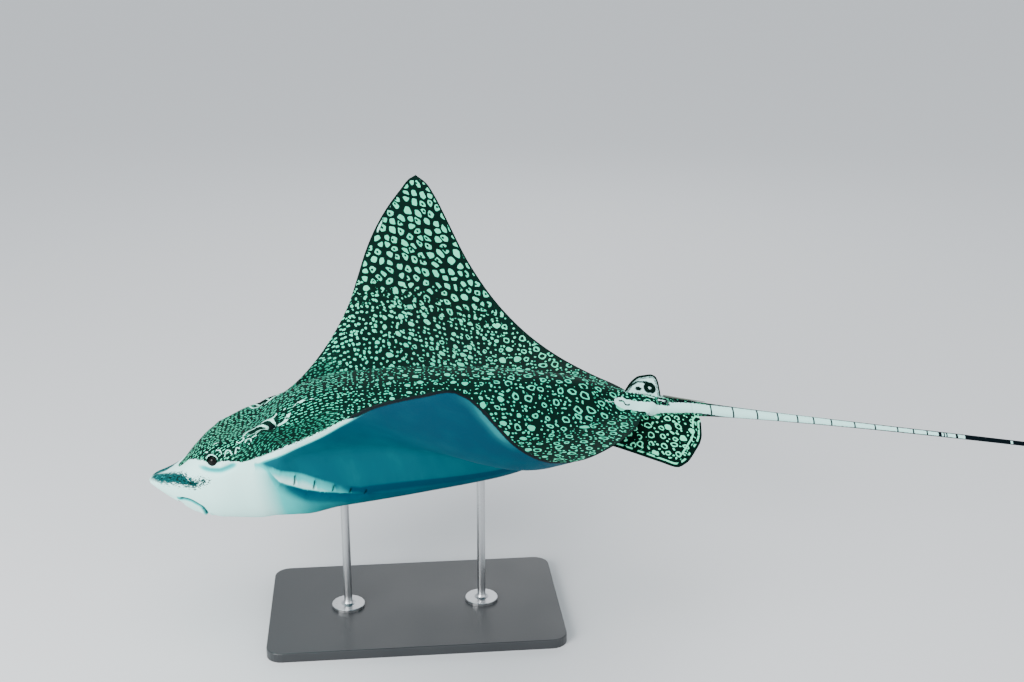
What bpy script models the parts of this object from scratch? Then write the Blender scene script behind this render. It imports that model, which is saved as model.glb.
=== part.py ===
# Spotted eagle ray, a life-size display model: held by two rods above a flat base, wings raised.
# The ray faces -X, its left side is -Y and +Z is up. The origin is under the middle of the stand's base.
# Lengths named as fractions are fractions of the disc width, from wing tip to wing tip laid flat.

from math import cos, pi, radians, sin

import bmesh
import bpy
import numpy as np
from mathutils import Vector

DISC_WIDTH = 1.60             # metres, wing tip to wing tip if the wings were laid flat
NOSE_DOWN = radians(8.0)      # the body's pitch on the stand
PIVOT_X = 0.31                # fraction behind the snout that stands over the middle of the base
PIVOT_HEIGHT = 0.37           # metres from the floor to the body's axis at the pivot
GAP = 0.0003                  # metres between touching solids
SWELL = 1.5 * GAP / DISC_WIDTH    # fraction: how far a cutter stands proud of the solid it copies
EDGE_HALF = 0.0003            # fraction: half of the thinnest edge of a fin

# Half outline of the flat disc, as (distance behind the snout, distance from the midline)
HEAD_OUTLINE = [(0.000, 0.000), (0.003, 0.010), (0.014, 0.021), (0.032, 0.031), (0.050, 0.038),
                (0.066, 0.045), (0.082, 0.055), (0.100, 0.064), (0.118, 0.070)]
LEADING_EDGE = [(0.138, 0.078), (0.171, 0.107), (0.205, 0.145), (0.232, 0.187), (0.253, 0.232),
                (0.268, 0.281), (0.282, 0.330), (0.299, 0.378), (0.319, 0.423), (0.342, 0.466),
                (0.355, 0.489)]
WING_TIP = (0.366, 0.500)
TRAILING_EDGE = [(0.379, 0.489), (0.388, 0.467), (0.398, 0.430), (0.416, 0.360), (0.460, 0.250),
                 (0.504, 0.170), (0.545, 0.105), (0.566, 0.070), (0.580, 0.036), (0.600, 0.0155)]
BODY_END = 0.600

# Body thickness on the midline, as (distance behind the snout, fraction above or below the axis)
HEIGHT_ABOVE = [(0.000, 0.003), (0.006, 0.005), (0.020, 0.006), (0.040, 0.013), (0.060, 0.030),
                (0.080, 0.043), (0.100, 0.046), (0.130, 0.050), (0.170, 0.063), (0.220, 0.071),
                (0.300, 0.067), (0.400, 0.056), (0.500, 0.036), (0.570, 0.016), (0.600, 0.0125)]
DEPTH_BELOW = [(0.000, 0.002), (0.006, 0.006), (0.020, 0.019), (0.040, 0.037), (0.060, 0.049),
               (0.080, 0.056), (0.100, 0.062), (0.130, 0.067), (0.170, 0.065), (0.220, 0.058),
               (0.300, 0.057), (0.400, 0.056), (0.500, 0.041), (0.570, 0.018), (0.600, 0.0125)]
BODY_HALF_WIDTH = [(0.100, 0.085), (0.170, 0.095), (0.250, 0.105), (0.400, 0.095), (0.500, 0.066),
                   (0.550, 0.040), (0.580, 0.024), (0.600, 0.018)]
WING_THICKNESS = [(0.000, 0.013), (0.080, 0.013), (0.150, 0.010), (0.300, 0.0055), (0.450, 0.002),
                  (0.500, 0.0008)]      # half thickness against distance from the midline

# Upward slope of the wing in degrees against distance from the midline, near each edge of the disc
FRONT_RISE = [(0.00, 0), (0.06, 36), (0.14, 31), (0.24, 29), (0.36, 31), (0.50, 38)]
REAR_RISE = [(0.00, 0), (0.06, -2), (0.14, 11), (0.24, 28), (0.36, 36), (0.50, 39)]
RISE_BLEND = (0.24, 0.454)    # where the slope passes from the front values to the rear ones
HEAD_BLEND = (0.03, 0.12)     # where the slope starts behind the snout

# Tail: slope of the midline, radius and sideways sweep against distance behind the snout
TAIL_SLOPE = [(0.50, 0.0), (0.56, -0.16), (0.62, -0.28), (0.80, -0.295), (1.05, -0.305),
              (1.50, -0.22), (2.10, -0.13)]
TAIL_RADIUS = [(0.600, 0.0130), (0.640, 0.0098), (0.680, 0.0073), (0.774, 0.0048), (0.900, 0.0034),
               (1.050, 0.0029), (1.500, 0.0020), (2.100, 0.0007)]
TAIL_LENGTHS = {"tail_base": (0.600, 0.900, 12), "tail_middle": (0.900, 1.500, 12),
                "tail_end": (1.500, 2.100, 12)}      # start, end, number of spans
TAIL_SIDES = 10
SWEEP_START = 1.06
SWEEP = 0.06

# Where the body is parted
NECK_X = 0.130
WING_ROOT_Y = 0.082

# Pelvic fins: flat outline, with the outer margin against distance behind the snout
PELVIC_OUTER = [(0.510, 0.045), (0.532, 0.056), (0.590, 0.083), (0.606, 0.0885), (0.618, 0.082),
                (0.634, 0.062), (0.646, 0.041), (0.650, 0.022)]
PELVIC_ROOT_Y = 0.006
PELVIC_DROOP = radians(33)
PELVIC_LIFT = -0.003          # fraction: height of the fin root against the midline
PELVIC_HALF = 0.0035          # fraction: half thickness at the root
PELVIC_STATIONS = 11
PELVIC_COLUMNS = 6

# Dorsal fin: side outline above the tail root
DORSAL_CREST = [(0.556, -0.002), (0.566, 0.010), (0.576, 0.0215), (0.586, 0.0265), (0.598, 0.0262),
                (0.605, 0.0225), (0.608, 0.012), (0.609, -0.010)]
DORSAL_HALF = 0.0028

# Sting: a flat spine along the top of the tail
STING_START = 0.612
STING_LENGTH = 0.050
STING_HALF_WIDTH = 0.0026
STING_HALF_THICKNESS = 0.0011
STING_LIFT = radians(1.2)

# Eyes
EYE_PLACE = (0.0878, 0.0462, 0.0290)
EYE_RADIUS = 0.0076

# Stand, in metres
BASE_SIZE = (0.56, 0.34, 0.018)
BASE_CORNER = 0.03
BASE_EDGE = 0.002
ROD_X = {"stand_rod_front": -0.13, "stand_rod_rear": 0.13}
ROD_RADIUS = 0.008
FLANGE_RADIUS = 0.032
FLANGE_HEIGHT = 0.006
ROD_SEAT = 0.012              # how far a rod's end goes into the belly

BODY_GREEN = (0.016, 0.045, 0.036)


def curve_through(points):
    """A smooth curve through points, which doesn't overshoot them."""
    xs, ys = (np.array(column, dtype=float) for column in zip(*points))
    step = np.diff(xs)
    rise = np.diff(ys) / step
    slope = np.zeros_like(xs)
    slope[0], slope[-1] = rise[0], rise[-1]
    for i in range(1, len(xs) - 1):
        if rise[i - 1] * rise[i] > 0:
            before, after = 2 * step[i] + step[i - 1], step[i] + 2 * step[i - 1]
            slope[i] = (before + after) / (before / rise[i - 1] + after / rise[i])

    def value(x):
        x = np.clip(np.asarray(x, dtype=float), xs[0], xs[-1])
        i = np.clip(np.searchsorted(xs, x, side="right") - 1, 0, len(step) - 1)
        t = (x - xs[i]) / step[i]
        return ((1 + 2 * t) * (1 - t) ** 2 * ys[i] + t * (1 - t) ** 2 * step[i] * slope[i]
                + t * t * (3 - 2 * t) * ys[i + 1] + t * t * (t - 1) * step[i] * slope[i + 1])
    return value


def ease(x, start, end):
    t = np.clip((x - start) / (end - start), 0, 1)
    return t * t * (3 - 2 * t)


front_half_width = curve_through(HEAD_OUTLINE + LEADING_EDGE + [WING_TIP])
rear_half_width = curve_through([WING_TIP] + TRAILING_EDGE)
leading_x = curve_through([(y, x) for x, y in LEADING_EDGE + [WING_TIP]])
trailing_x = curve_through([(y, x) for x, y in reversed([WING_TIP] + TRAILING_EDGE)])
height_above = curve_through(HEIGHT_ABOVE)
depth_below = curve_through(DEPTH_BELOW)
body_half_width = curve_through(BODY_HALF_WIDTH)
wing_half_thickness = curve_through(WING_THICKNESS)
front_rise = curve_through(FRONT_RISE)
rear_rise = curve_through(REAR_RISE)
tail_slope = curve_through(TAIL_SLOPE)
tail_radius = curve_through(TAIL_RADIUS)


def half_width(x):
    return float(front_half_width(x) if x <= WING_TIP[0] else rear_half_width(x))


def area_under(values, length):
    """The integral of evenly spaced values over a length."""
    return float((values[1:] + values[:-1]).sum() * length / 2 / (len(values) - 1))


def midline_height(x):
    """Height of the midline: level along the body, then down the tail's slope."""
    start = TAIL_SLOPE[0][0]
    length = max(x - start, 0)
    return area_under(tail_slope(np.linspace(start, start + length, 60)), length)


def raised(x, y):
    """Where a point of the flat disc's middle layer goes when the wings are raised."""
    out = np.linspace(0, abs(y), 40)
    blend = ease(x, *RISE_BLEND)
    angle = np.radians((1 - blend) * front_rise(out) + blend * rear_rise(out)) * ease(x, *HEAD_BLEND)
    across = area_under(np.cos(angle), y)
    return across, area_under(np.sin(angle), abs(y)) + midline_height(x)


def thickness(x, y):
    """Height above and depth below the middle layer at a point of the flat disc."""
    y = abs(y)
    above, below = float(height_above(x)), float(depth_below(x))
    edge = max(half_width(x), 1e-6)
    side = (1 - min(y / edge, 1) ** 2.3) ** 0.5            # a rounded section, as at the head and tail root
    dome = 0.5 * (1 + cos(pi * min(y / float(body_half_width(x)), 1) ** 1.25))
    span = min(max(y, LEADING_EDGE[0][1]), WING_TIP[1] - 0.0001)
    nose, tail = float(leading_x(span)), float(trailing_x(span))
    chord = min(max((x - nose) / (tail - nose), 0), 1)
    blade = float(wing_half_thickness(y)) * 2.6 * chord ** 0.5 * (1 - chord)
    wing = float(ease(x, 0.115, 0.190)) * (1 - float(ease(x, 0.575, 0.600)))
    up = (1 - wing) * above * side + wing * (above * dome + blade)
    down = (1 - wing) * below * side + wing * (below * dome + blade)
    return max(up, EDGE_HALF), max(down, EDGE_HALF)


def place(x, y, z):
    """From fractions of the disc width to metres about the pivot."""
    return Vector(((x - PIVOT_X) * DISC_WIDTH, y * DISC_WIDTH, z * DISC_WIDTH))


def wing_root(x):
    """Distance from the midline on the flat disc that comes to lie where the wings are parted."""
    y = WING_ROOT_Y
    for _ in range(6):
        y += WING_ROOT_Y - raised(x, y)[0]
    return y


def body_ring(x, swell=0.0):
    """One cross section of the body and wings, over the top from left to right and back below."""
    edge = half_width(x)
    inner = min(wing_root(x), 0.62 * edge)
    half = [inner * i / 5 for i in range(5)]
    half += [inner + (edge - inner) * sin(pi / 2 * i / 6) for i in range(7)]
    columns = [-y for y in reversed(half[1:])] + half
    top, bottom = [], []
    for y in columns:
        across, up = raised(x, y)
        across *= 1 + swell / edge
        above, below = thickness(x, y)
        top.append(place(x, across, up + above + swell))
        bottom.append(place(x, across, up - below - swell))
    return top + bottom[::-1]


def tail_ring(x, swell=0.0):
    radius = float(tail_radius(x)) + swell
    sweep = SWEEP * max((x - SWEEP_START) / (TAIL_SLOPE[-1][0] - SWEEP_START), 0) ** 2
    up = midline_height(x)
    turns = [2 * pi * i / TAIL_SIDES for i in range(TAIL_SIDES)]
    return [place(x, sweep + radius * cos(t), up + radius * sin(t)) for t in turns]


def make_collection(name):
    collection = bpy.data.collections.new(name)
    bpy.context.scene.collection.children.link(collection)
    return collection


def material(name, colour, roughness, metallic=0.0):
    found = bpy.data.materials.get(name)
    if found:
        return found
    made = bpy.data.materials.new(name)
    made.use_nodes = True
    shader = made.node_tree.nodes["Principled BSDF"]
    shader.inputs["Base Color"].default_value = (*colour, 1)
    shader.inputs["Roughness"].default_value = roughness
    shader.inputs["Metallic"].default_value = metallic
    return made


def add_object(name, mesh, collection, parent=None, finish=None):
    made = bpy.data.objects.new(name, mesh)
    collection.objects.link(made)
    made.parent = parent
    if finish:
        mesh.materials.append(finish)
    return made


def loft(name, rings, collection, parent=None, finish=None):
    """A closed solid through a row of rings with the same number of points."""
    bm = bmesh.new()
    rows = [[bm.verts.new(point) for point in ring] for ring in rings]
    count = len(rows[0])
    for row, following in zip(rows, rows[1:]):
        for i in range(count):
            bm.faces.new((row[i], row[(i + 1) % count], following[(i + 1) % count], following[i]))
    bm.faces.new(rows[0])
    bm.faces.new(rows[-1])
    bmesh.ops.recalc_face_normals(bm, faces=bm.faces)
    mesh = bpy.data.meshes.new(name)
    bm.to_mesh(mesh)
    bm.free()
    mesh.shade_smooth()
    return add_object(name, mesh, collection, parent, finish)


def hide_cutter(cutter):
    cutter.hide_render = True
    cutter.display_type = "WIRE"
    return cutter


def cut(target, cutter):
    boolean = target.modifiers.new(f"less {cutter.name}", "BOOLEAN")
    boolean.operation = "DIFFERENCE"
    boolean.solver = "EXACT"
    boolean.object = cutter


def apply_modifiers(target):
    graph = bpy.context.evaluated_depsgraph_get()
    graph.update()
    mesh = bpy.data.meshes.new_from_object(target.evaluated_get(graph))
    target.modifiers.clear()
    target.data = mesh


def slab(name, low, high, cutters, parent):
    """A thin box between two corners, given as fractions, that parts the body."""
    bpy.ops.mesh.primitive_cube_add(size=1)
    box = bpy.context.object
    box.name = name
    low, high = place(*low), place(*high)
    box.location = (low + high) / 2
    box.scale = [max(b - a, GAP) for a, b in zip(low, high)]
    box.parent = parent
    move_to(box, cutters)
    return hide_cutter(box)


def move_to(thing, collection):
    for owner in list(thing.users_collection):
        owner.objects.unlink(thing)
    collection.objects.link(thing)


def body_stations():
    head = 0.0015 + (NECK_X + 0.008 - 0.0015) * np.linspace(0, 1, 14) ** 1.35
    front = np.linspace(NECK_X + 0.008, WING_TIP[0], 17)[1:]
    tip = WING_TIP[0] + (0.42 - WING_TIP[0]) * np.linspace(0, 1, 7)[1:] ** 1.3
    rear = np.linspace(0.42, BODY_END, 13)[1:]
    return [float(x) for x in np.concatenate([head, front, tip, rear])]


def build_body(parts, cutters, frame):
    """The head, trunk and wings, modelled whole and parted by thin slabs."""
    stations = body_stations()
    body = loft("body", [body_ring(x) for x in stations], parts, frame)
    stations[-1] += SWELL
    swell = hide_cutter(loft("body swollen", [body_ring(x, SWELL) for x in stations], cutters, frame))
    across = WING_ROOT_Y - 0.001
    slabs = [slab("neck cut", (NECK_X, -across, -0.2), (NECK_X, across, 0.2), cutters, frame),
             slab("left wing cut", (0.1, -WING_ROOT_Y, -0.4), (0.7, -WING_ROOT_Y, 0.4), cutters, frame),
             slab("right wing cut", (0.1, WING_ROOT_Y, -0.4), (0.7, WING_ROOT_Y, 0.4), cutters, frame)]
    for cutter in slabs:
        cut(body, cutter)
    apply_modifiers(body)
    bpy.ops.object.select_all(action="DESELECT")
    body.select_set(True)
    bpy.context.view_layer.objects.active = body
    bpy.ops.mesh.separate(type="LOOSE")
    finish = material("spotted skin", BODY_GREEN, 0.42)
    neck = place(NECK_X, 0, 0).x
    root = place(0, WING_ROOT_Y, 0).y
    named = {}
    for piece in list(bpy.context.selected_objects):
        middle = sum((v.co for v in piece.data.vertices), Vector()) / len(piece.data.vertices)
        if middle.y < -root:
            name = "wing_left"
        elif middle.y > root:
            name = "wing_right"
        else:
            name = "head" if middle.x < neck else "trunk"
        piece.name = piece.data.name = name
        piece.data.materials.clear()
        piece.data.materials.append(finish)
        named[name] = piece
    return named, swell


def build_tail(parts, cutters, frame):
    """The tail's lengths; returns a swollen copy of the first to cut its neighbours with."""
    finish = material("tail skin", BODY_GREEN, 0.45)
    for name, (start, end, spans) in TAIL_LENGTHS.items():
        first = start + GAP / DISC_WIDTH
        rings = [tail_ring(first + (end - first) * i / spans) for i in range(spans + 1)]
        loft(name, rings, parts, frame, finish)
    start, end, spans = TAIL_LENGTHS["tail_base"]
    rings = [tail_ring(start + (end - start) * i / spans, SWELL) for i in range(spans + 1)]
    return hide_cutter(loft("tail swollen", rings, cutters, frame))


def pelvic_ring(x, outer, side):
    edge = float(outer(x))
    top, bottom = [], []
    for i in range(PELVIC_COLUMNS):
        out = PELVIC_ROOT_Y + (edge - PELVIC_ROOT_Y) * sin(pi / 2 * i / (PELVIC_COLUMNS - 1))
        along = (x - PELVIC_OUTER[0][0]) / (PELVIC_OUTER[-1][0] - PELVIC_OUTER[0][0])
        round_off = (max(1 - (out / edge) ** 2, 0) * 4 * along * (1 - along)) ** 0.5
        half = max(PELVIC_HALF * round_off, 2 * EDGE_HALF)
        across = side * (PELVIC_ROOT_Y + (out - PELVIC_ROOT_Y) * cos(PELVIC_DROOP))
        up = midline_height(x) + PELVIC_LIFT - (out - PELVIC_ROOT_Y) * sin(PELVIC_DROOP)
        top.append(place(x, across, up + half))
        bottom.append(place(x, across, up - half))
    return top + bottom[::-1]


def build_pelvic_fins(parts, frame, body_swell, tail_swell):
    outer = curve_through(PELVIC_OUTER)
    finish = material("fin skin", BODY_GREEN, 0.42)
    first, last = PELVIC_OUTER[0][0], PELVIC_OUTER[-1][0]
    stations = [first + (last - first) * (1 - cos(pi * i / PELVIC_STATIONS)) / 2
                for i in range(PELVIC_STATIONS + 1)]
    for name, side in (("pelvic_left", -1), ("pelvic_right", 1)):
        fin = loft(name, [pelvic_ring(x, outer, side) for x in stations], parts, frame, finish)
        cut(fin, body_swell)
        cut(fin, tail_swell)
        apply_modifiers(fin)
        keep_largest(fin)


def build_dorsal_fin(parts, frame, body_swell, tail_swell):
    """An upright blade, thick at its base, through rings that follow its crest."""
    crest = curve_through(DORSAL_CREST)
    first, last = DORSAL_CREST[0][0], DORSAL_CREST[-1][0]
    rings = []
    for i in range(13):
        x = first + (last - first) * (1 - cos(pi * i / 12)) / 2
        top, foot = float(crest(x)), midline_height(x) - 0.002
        left, right = [], []
        for j in range(6):
            up = j / 5
            half = max(DORSAL_HALF * (1 - up ** 2) ** 0.5, 2 * EDGE_HALF)
            height = foot + max(top - foot, 0.001) * up
            left.append(place(x, -half, height))
            right.append(place(x, half, height))
        rings.append(left + right[::-1])
    fin = loft("dorsal_fin", rings, parts, frame, material("fin skin", BODY_GREEN, 0.42))
    cut(fin, body_swell)
    cut(fin, tail_swell)
    apply_modifiers(fin)
    keep_largest(fin)


def build_sting(parts, frame, tail_swell):
    """A flat tapering spine that leaves the top of the tail at a small angle."""
    rings = []
    for i in range(9):
        along = i / 8
        x = STING_START + STING_LENGTH * along
        width = STING_HALF_WIDTH * (1 - along ** 1.6) + 0.0003
        thick = STING_HALF_THICKNESS * (1 - 0.7 * along)
        height = (midline_height(x) + float(tail_radius(x)) + STING_HALF_THICKNESS
                  + STING_LENGTH * along * sin(STING_LIFT))
        turns = [2 * pi * j / 8 for j in range(8)]
        rings.append([place(x, width * cos(t), height + thick * sin(t)) for t in turns])
    sting = loft("sting", rings, parts, frame, material("spine", (0.55, 0.52, 0.42), 0.5))
    cut(sting, tail_swell)
    apply_modifiers(sting)
    keep_largest(sting)


def keep_largest(target):
    """Delete slivers that a cut leaves on the far side of a neighbour."""
    bm = bmesh.new()
    bm.from_mesh(target.data)
    left, islands = set(bm.verts), []
    while left:
        island, todo = set(), [left.pop()]
        while todo:
            vert = todo.pop()
            island.add(vert)
            near = [edge.other_vert(vert) for edge in vert.link_edges]
            todo += [other for other in near if other in left]
            left.difference_update(near)
        islands.append(island)
    islands.sort(key=lambda verts: -sum(face.calc_area() for v in verts for face in v.link_faces))
    spare = [vert for island in islands[1:] for vert in island]
    bmesh.ops.delete(bm, geom=spare, context="VERTS")
    bm.to_mesh(target.data)
    bm.free()


def build_eyes(parts, cutters, frame, head):
    for name, side in (("eye_left", -1), ("eye_right", 1)):
        x, y, z = EYE_PLACE
        centre = place(x, side * y, z)
        for label, radius, home in ((name, EYE_RADIUS * DISC_WIDTH, parts),
                                    (f"{name} socket", EYE_RADIUS * DISC_WIDTH + GAP, cutters)):
            bpy.ops.mesh.primitive_uv_sphere_add(segments=16, ring_count=10, radius=radius)
            ball = bpy.context.object
            ball.name = ball.data.name = label
            ball.location = centre
            ball.rotation_euler.x = radians(90)
            ball.parent = frame
            ball.data.shade_smooth()
            move_to(ball, home)
            if home is parts:
                ball.data.materials.append(material("eye", (0.01, 0.012, 0.012), 0.08))
            else:
                cut(head, hide_cutter(ball))
    apply_modifiers(head)


def lathe(name, profile, location, collection, finish=None):
    """A turned piece from a profile of (radius, height) that runs from top to bottom."""
    mesh = bpy.data.meshes.new(name)
    points = [(radius, 0, height) for radius, height in profile]
    mesh.from_pydata(points, [(i, i + 1) for i in range(len(points) - 1)], [])
    made = add_object(name, mesh, collection, None, finish)
    made.location = location
    screw = made.modifiers.new("turn", "SCREW")
    screw.steps = screw.render_steps = 20
    screw.use_merge_vertices = True
    screw.merge_threshold = 0.0001
    return made


def belly_height(world_x):
    """Height of the belly's lower surface on the midline above the floor at a place along X."""
    x = PIVOT_X + world_x / DISC_WIDTH / cos(NOSE_DOWN)
    for _ in range(8):
        point = place(x, 0, -thickness(x, 0)[1])
        x += (world_x - (point.x * cos(NOSE_DOWN) - point.z * sin(NOSE_DOWN))) / DISC_WIDTH
    return PIVOT_HEIGHT + point.x * sin(NOSE_DOWN) + point.z * cos(NOSE_DOWN)


def build_stand(parts, cutters, trunk):
    bm = bmesh.new()
    bmesh.ops.create_cube(bm, size=1)
    bmesh.ops.scale(bm, vec=BASE_SIZE, verts=bm.verts)
    bmesh.ops.translate(bm, vec=(0, 0, BASE_SIZE[2] / 2), verts=bm.verts)
    upright = [e for e in bm.edges if abs(e.verts[0].co.z - e.verts[1].co.z) > BASE_SIZE[2] / 2]
    bmesh.ops.bevel(bm, geom=upright, offset=BASE_CORNER, segments=6, profile=0.5, affect="EDGES")
    rim = [e for e in bm.edges if min(v.co.z for v in e.verts) > BASE_SIZE[2] - 1e-6
           and e.calc_face_angle(0) > radians(60)]
    bmesh.ops.bevel(bm, geom=rim, offset=BASE_EDGE, segments=2, profile=0.5, affect="EDGES")
    mesh = bpy.data.meshes.new("stand_base")
    bm.to_mesh(mesh)
    bm.free()
    add_object("stand_base", mesh, parts, None, material("base lacquer", (0.03, 0.032, 0.035), 0.35))
    steel = material("brushed steel", (0.6, 0.6, 0.6), 0.3, 1.0)
    for name, x in ROD_X.items():
        foot = BASE_SIZE[2] + GAP
        top = belly_height(x) + ROD_SEAT
        rise = top - foot
        profile = [(0, rise), (ROD_RADIUS - 0.001, rise), (ROD_RADIUS, rise - 0.001),
                   (ROD_RADIUS, FLANGE_HEIGHT + 0.006), (ROD_RADIUS + 0.0018, FLANGE_HEIGHT + 0.0018),
                   (ROD_RADIUS + 0.006, FLANGE_HEIGHT), (FLANGE_RADIUS - 0.001, FLANGE_HEIGHT),
                   (FLANGE_RADIUS, FLANGE_HEIGHT - 0.001), (FLANGE_RADIUS, 0), (0, 0)]
        lathe(name, profile, (x, 0, foot), parts, steel)
        seat = [(0, rise + GAP), (ROD_RADIUS + GAP, rise + GAP), (ROD_RADIUS + GAP, rise - 0.06),
                (0, rise - 0.06)]
        cut(trunk, hide_cutter(lathe(f"{name} seat", seat, (x, 0, foot), cutters)))
    apply_modifiers(trunk)


def build():
    for thing in list(bpy.data.objects):
        bpy.data.objects.remove(thing)
    parts = make_collection("spotted eagle ray")
    cutters = make_collection("cutters")
    frame = bpy.data.objects.new("ray frame", None)
    parts.objects.link(frame)
    frame.location = (0, 0, PIVOT_HEIGHT)
    frame.rotation_euler = (0, -NOSE_DOWN, 0)
    bpy.context.view_layer.update()
    body, body_swell = build_body(parts, cutters, frame)
    tail_swell = build_tail(parts, cutters, frame)
    build_pelvic_fins(parts, frame, body_swell, tail_swell)
    build_dorsal_fin(parts, frame, body_swell, tail_swell)
    build_sting(parts, frame, tail_swell)
    build_eyes(parts, cutters, frame, body["head"])
    build_stand(parts, cutters, body["trunk"])


build()
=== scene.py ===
from math import cos, pi, radians, sin, tan

import bmesh
import bpy
import numpy as np
from mathutils import Matrix, Vector
from mathutils.kdtree import KDTree


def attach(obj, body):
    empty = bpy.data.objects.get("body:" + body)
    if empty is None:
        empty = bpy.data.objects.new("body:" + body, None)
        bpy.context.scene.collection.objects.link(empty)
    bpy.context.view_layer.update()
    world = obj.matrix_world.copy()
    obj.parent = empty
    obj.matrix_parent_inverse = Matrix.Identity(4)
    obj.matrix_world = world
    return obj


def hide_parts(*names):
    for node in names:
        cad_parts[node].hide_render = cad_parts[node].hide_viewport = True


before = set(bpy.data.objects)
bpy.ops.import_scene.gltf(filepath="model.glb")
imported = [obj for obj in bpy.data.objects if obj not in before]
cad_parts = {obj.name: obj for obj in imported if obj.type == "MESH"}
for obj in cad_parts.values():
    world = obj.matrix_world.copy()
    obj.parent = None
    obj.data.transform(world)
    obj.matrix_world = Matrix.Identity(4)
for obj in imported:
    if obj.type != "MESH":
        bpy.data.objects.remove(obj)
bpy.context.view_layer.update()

# The ray as in the solids: it faces -X, its left side is -Y and +Z is up.
# Lengths are fractions of the disc width; a place on the flat disc is (behind the snout, from the midline).
ray = {
    "discWidth": 1.60,            # metres, wing tip to wing tip laid flat
    "noseDown": radians(8),
    "pivotX": 0.31,               # what stands over the middle of the base
    "pivotHeight": 0.37,          # metres above the floor
    "edgeHalf": 0.0003,
    "noseStart": 0.0015,
    "head": [(0.000, 0.000), (0.003, 0.010), (0.014, 0.021), (0.032, 0.031), (0.050, 0.038),
             (0.066, 0.045), (0.082, 0.055), (0.100, 0.064), (0.118, 0.070)],
    "leading": [(0.138, 0.078), (0.171, 0.107), (0.205, 0.145), (0.232, 0.187), (0.253, 0.232),
                (0.268, 0.281), (0.282, 0.330), (0.299, 0.378), (0.319, 0.423), (0.342, 0.466),
                (0.355, 0.489)],
    "tip": (0.366, 0.500),
    "trailing": [(0.379, 0.489), (0.388, 0.467), (0.398, 0.430), (0.416, 0.360), (0.460, 0.250),
                 (0.504, 0.170), (0.545, 0.105), (0.566, 0.070), (0.580, 0.036), (0.600, 0.0155)],
    "bodyEnd": 0.600,
    "above": [(0.000, 0.003), (0.006, 0.005), (0.020, 0.006), (0.040, 0.013), (0.060, 0.030),
              (0.080, 0.043), (0.100, 0.046), (0.130, 0.050), (0.170, 0.063), (0.220, 0.071),
              (0.300, 0.067), (0.400, 0.056), (0.500, 0.036), (0.570, 0.016), (0.600, 0.0125)],
    "below": [(0.000, 0.002), (0.006, 0.006), (0.020, 0.019), (0.040, 0.037), (0.060, 0.049),
              (0.080, 0.056), (0.100, 0.062), (0.130, 0.067), (0.170, 0.065), (0.220, 0.058),
              (0.300, 0.057), (0.400, 0.056), (0.500, 0.041), (0.570, 0.018), (0.600, 0.0125)],
    "bodyHalf": [(0.100, 0.085), (0.170, 0.095), (0.250, 0.105), (0.400, 0.095), (0.500, 0.066),
                 (0.550, 0.040), (0.580, 0.024), (0.600, 0.018)],
    "wingThick": [(0.000, 0.013), (0.080, 0.013), (0.150, 0.010), (0.300, 0.0055), (0.450, 0.002),
                  (0.500, 0.0008)],
    "frontRise": [(0.00, 0), (0.06, 36), (0.14, 31), (0.24, 29), (0.36, 31), (0.50, 38)],
    "rearRise": [(0.00, 0), (0.06, -2), (0.14, 11), (0.24, 28), (0.36, 36), (0.50, 39)],
    "riseBlend": (0.24, 0.454),
    "headBlend": (0.03, 0.12),
    "tailSlope": [(0.50, 0.0), (0.56, -0.16), (0.62, -0.28), (0.80, -0.295), (1.05, -0.305),
                  (1.50, -0.22), (2.10, -0.13)],
    "tailRadius": [(0.600, 0.0130), (0.640, 0.0098), (0.680, 0.0073), (0.774, 0.0048), (0.900, 0.0034),
                   (1.050, 0.0029), (1.500, 0.0020), (2.100, 0.0007)],
    "sweepStart": 1.06,
    "sweep": 0.06,
}
discWidth = ray["discWidth"]


def ease(x, start, end):
    t = np.clip((x - start) / (end - start), 0, 1)
    return t * t * (3 - 2 * t)


def bell(away, width):            # 1 in the middle, fading smoothly on both sides
    return np.exp(-(away / width) ** 2)


def smoothCurve(points):          # through the points, without overshooting them
    xs, ys = (np.array(column, dtype=float) for column in zip(*points))
    step = np.diff(xs)
    rise = np.diff(ys) / step
    slope = np.zeros_like(xs)
    slope[0], slope[-1] = rise[0], rise[-1]
    for i in range(1, len(xs) - 1):
        if rise[i - 1] * rise[i] > 0:
            before, after = 2 * step[i] + step[i - 1], step[i] + 2 * step[i - 1]
            slope[i] = (before + after) / (before / rise[i - 1] + after / rise[i])

    def value(x):
        x = np.clip(np.asarray(x, dtype=float), xs[0], xs[-1])
        i = np.clip(np.searchsorted(xs, x, side="right") - 1, 0, len(step) - 1)
        t = (x - xs[i]) / step[i]
        return ((1 + 2 * t) * (1 - t) ** 2 * ys[i] + t * (1 - t) ** 2 * step[i] * slope[i]
                + t * t * (3 - 2 * t) * ys[i + 1] + t * t * (t - 1) * step[i] * slope[i + 1])
    return value


frontHalf = smoothCurve(ray["head"] + ray["leading"] + [ray["tip"]])
rearHalf = smoothCurve([ray["tip"]] + ray["trailing"])
leadingX = smoothCurve([(y, x) for x, y in ray["leading"] + [ray["tip"]]])
trailingX = smoothCurve([(y, x) for x, y in reversed([ray["tip"]] + ray["trailing"])])
shape = {name: smoothCurve(ray[name]) for name in
         ("above", "below", "bodyHalf", "wingThick", "frontRise", "rearRise", "tailSlope", "tailRadius")}


def halfWidth(x):
    return np.where(x <= ray["tip"][0], frontHalf(x), rearHalf(x))


slopeX = np.linspace(0.5, 2.1, 800)
slopeSum = np.concatenate([[0], np.cumsum((shape["tailSlope"](slopeX)[1:] + shape["tailSlope"](slopeX)[:-1])
                                          / 2 * np.diff(slopeX))])


def midline(x):                   # level along the body, then down the tail's slope
    return np.interp(x, slopeX, slopeSum)


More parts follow.
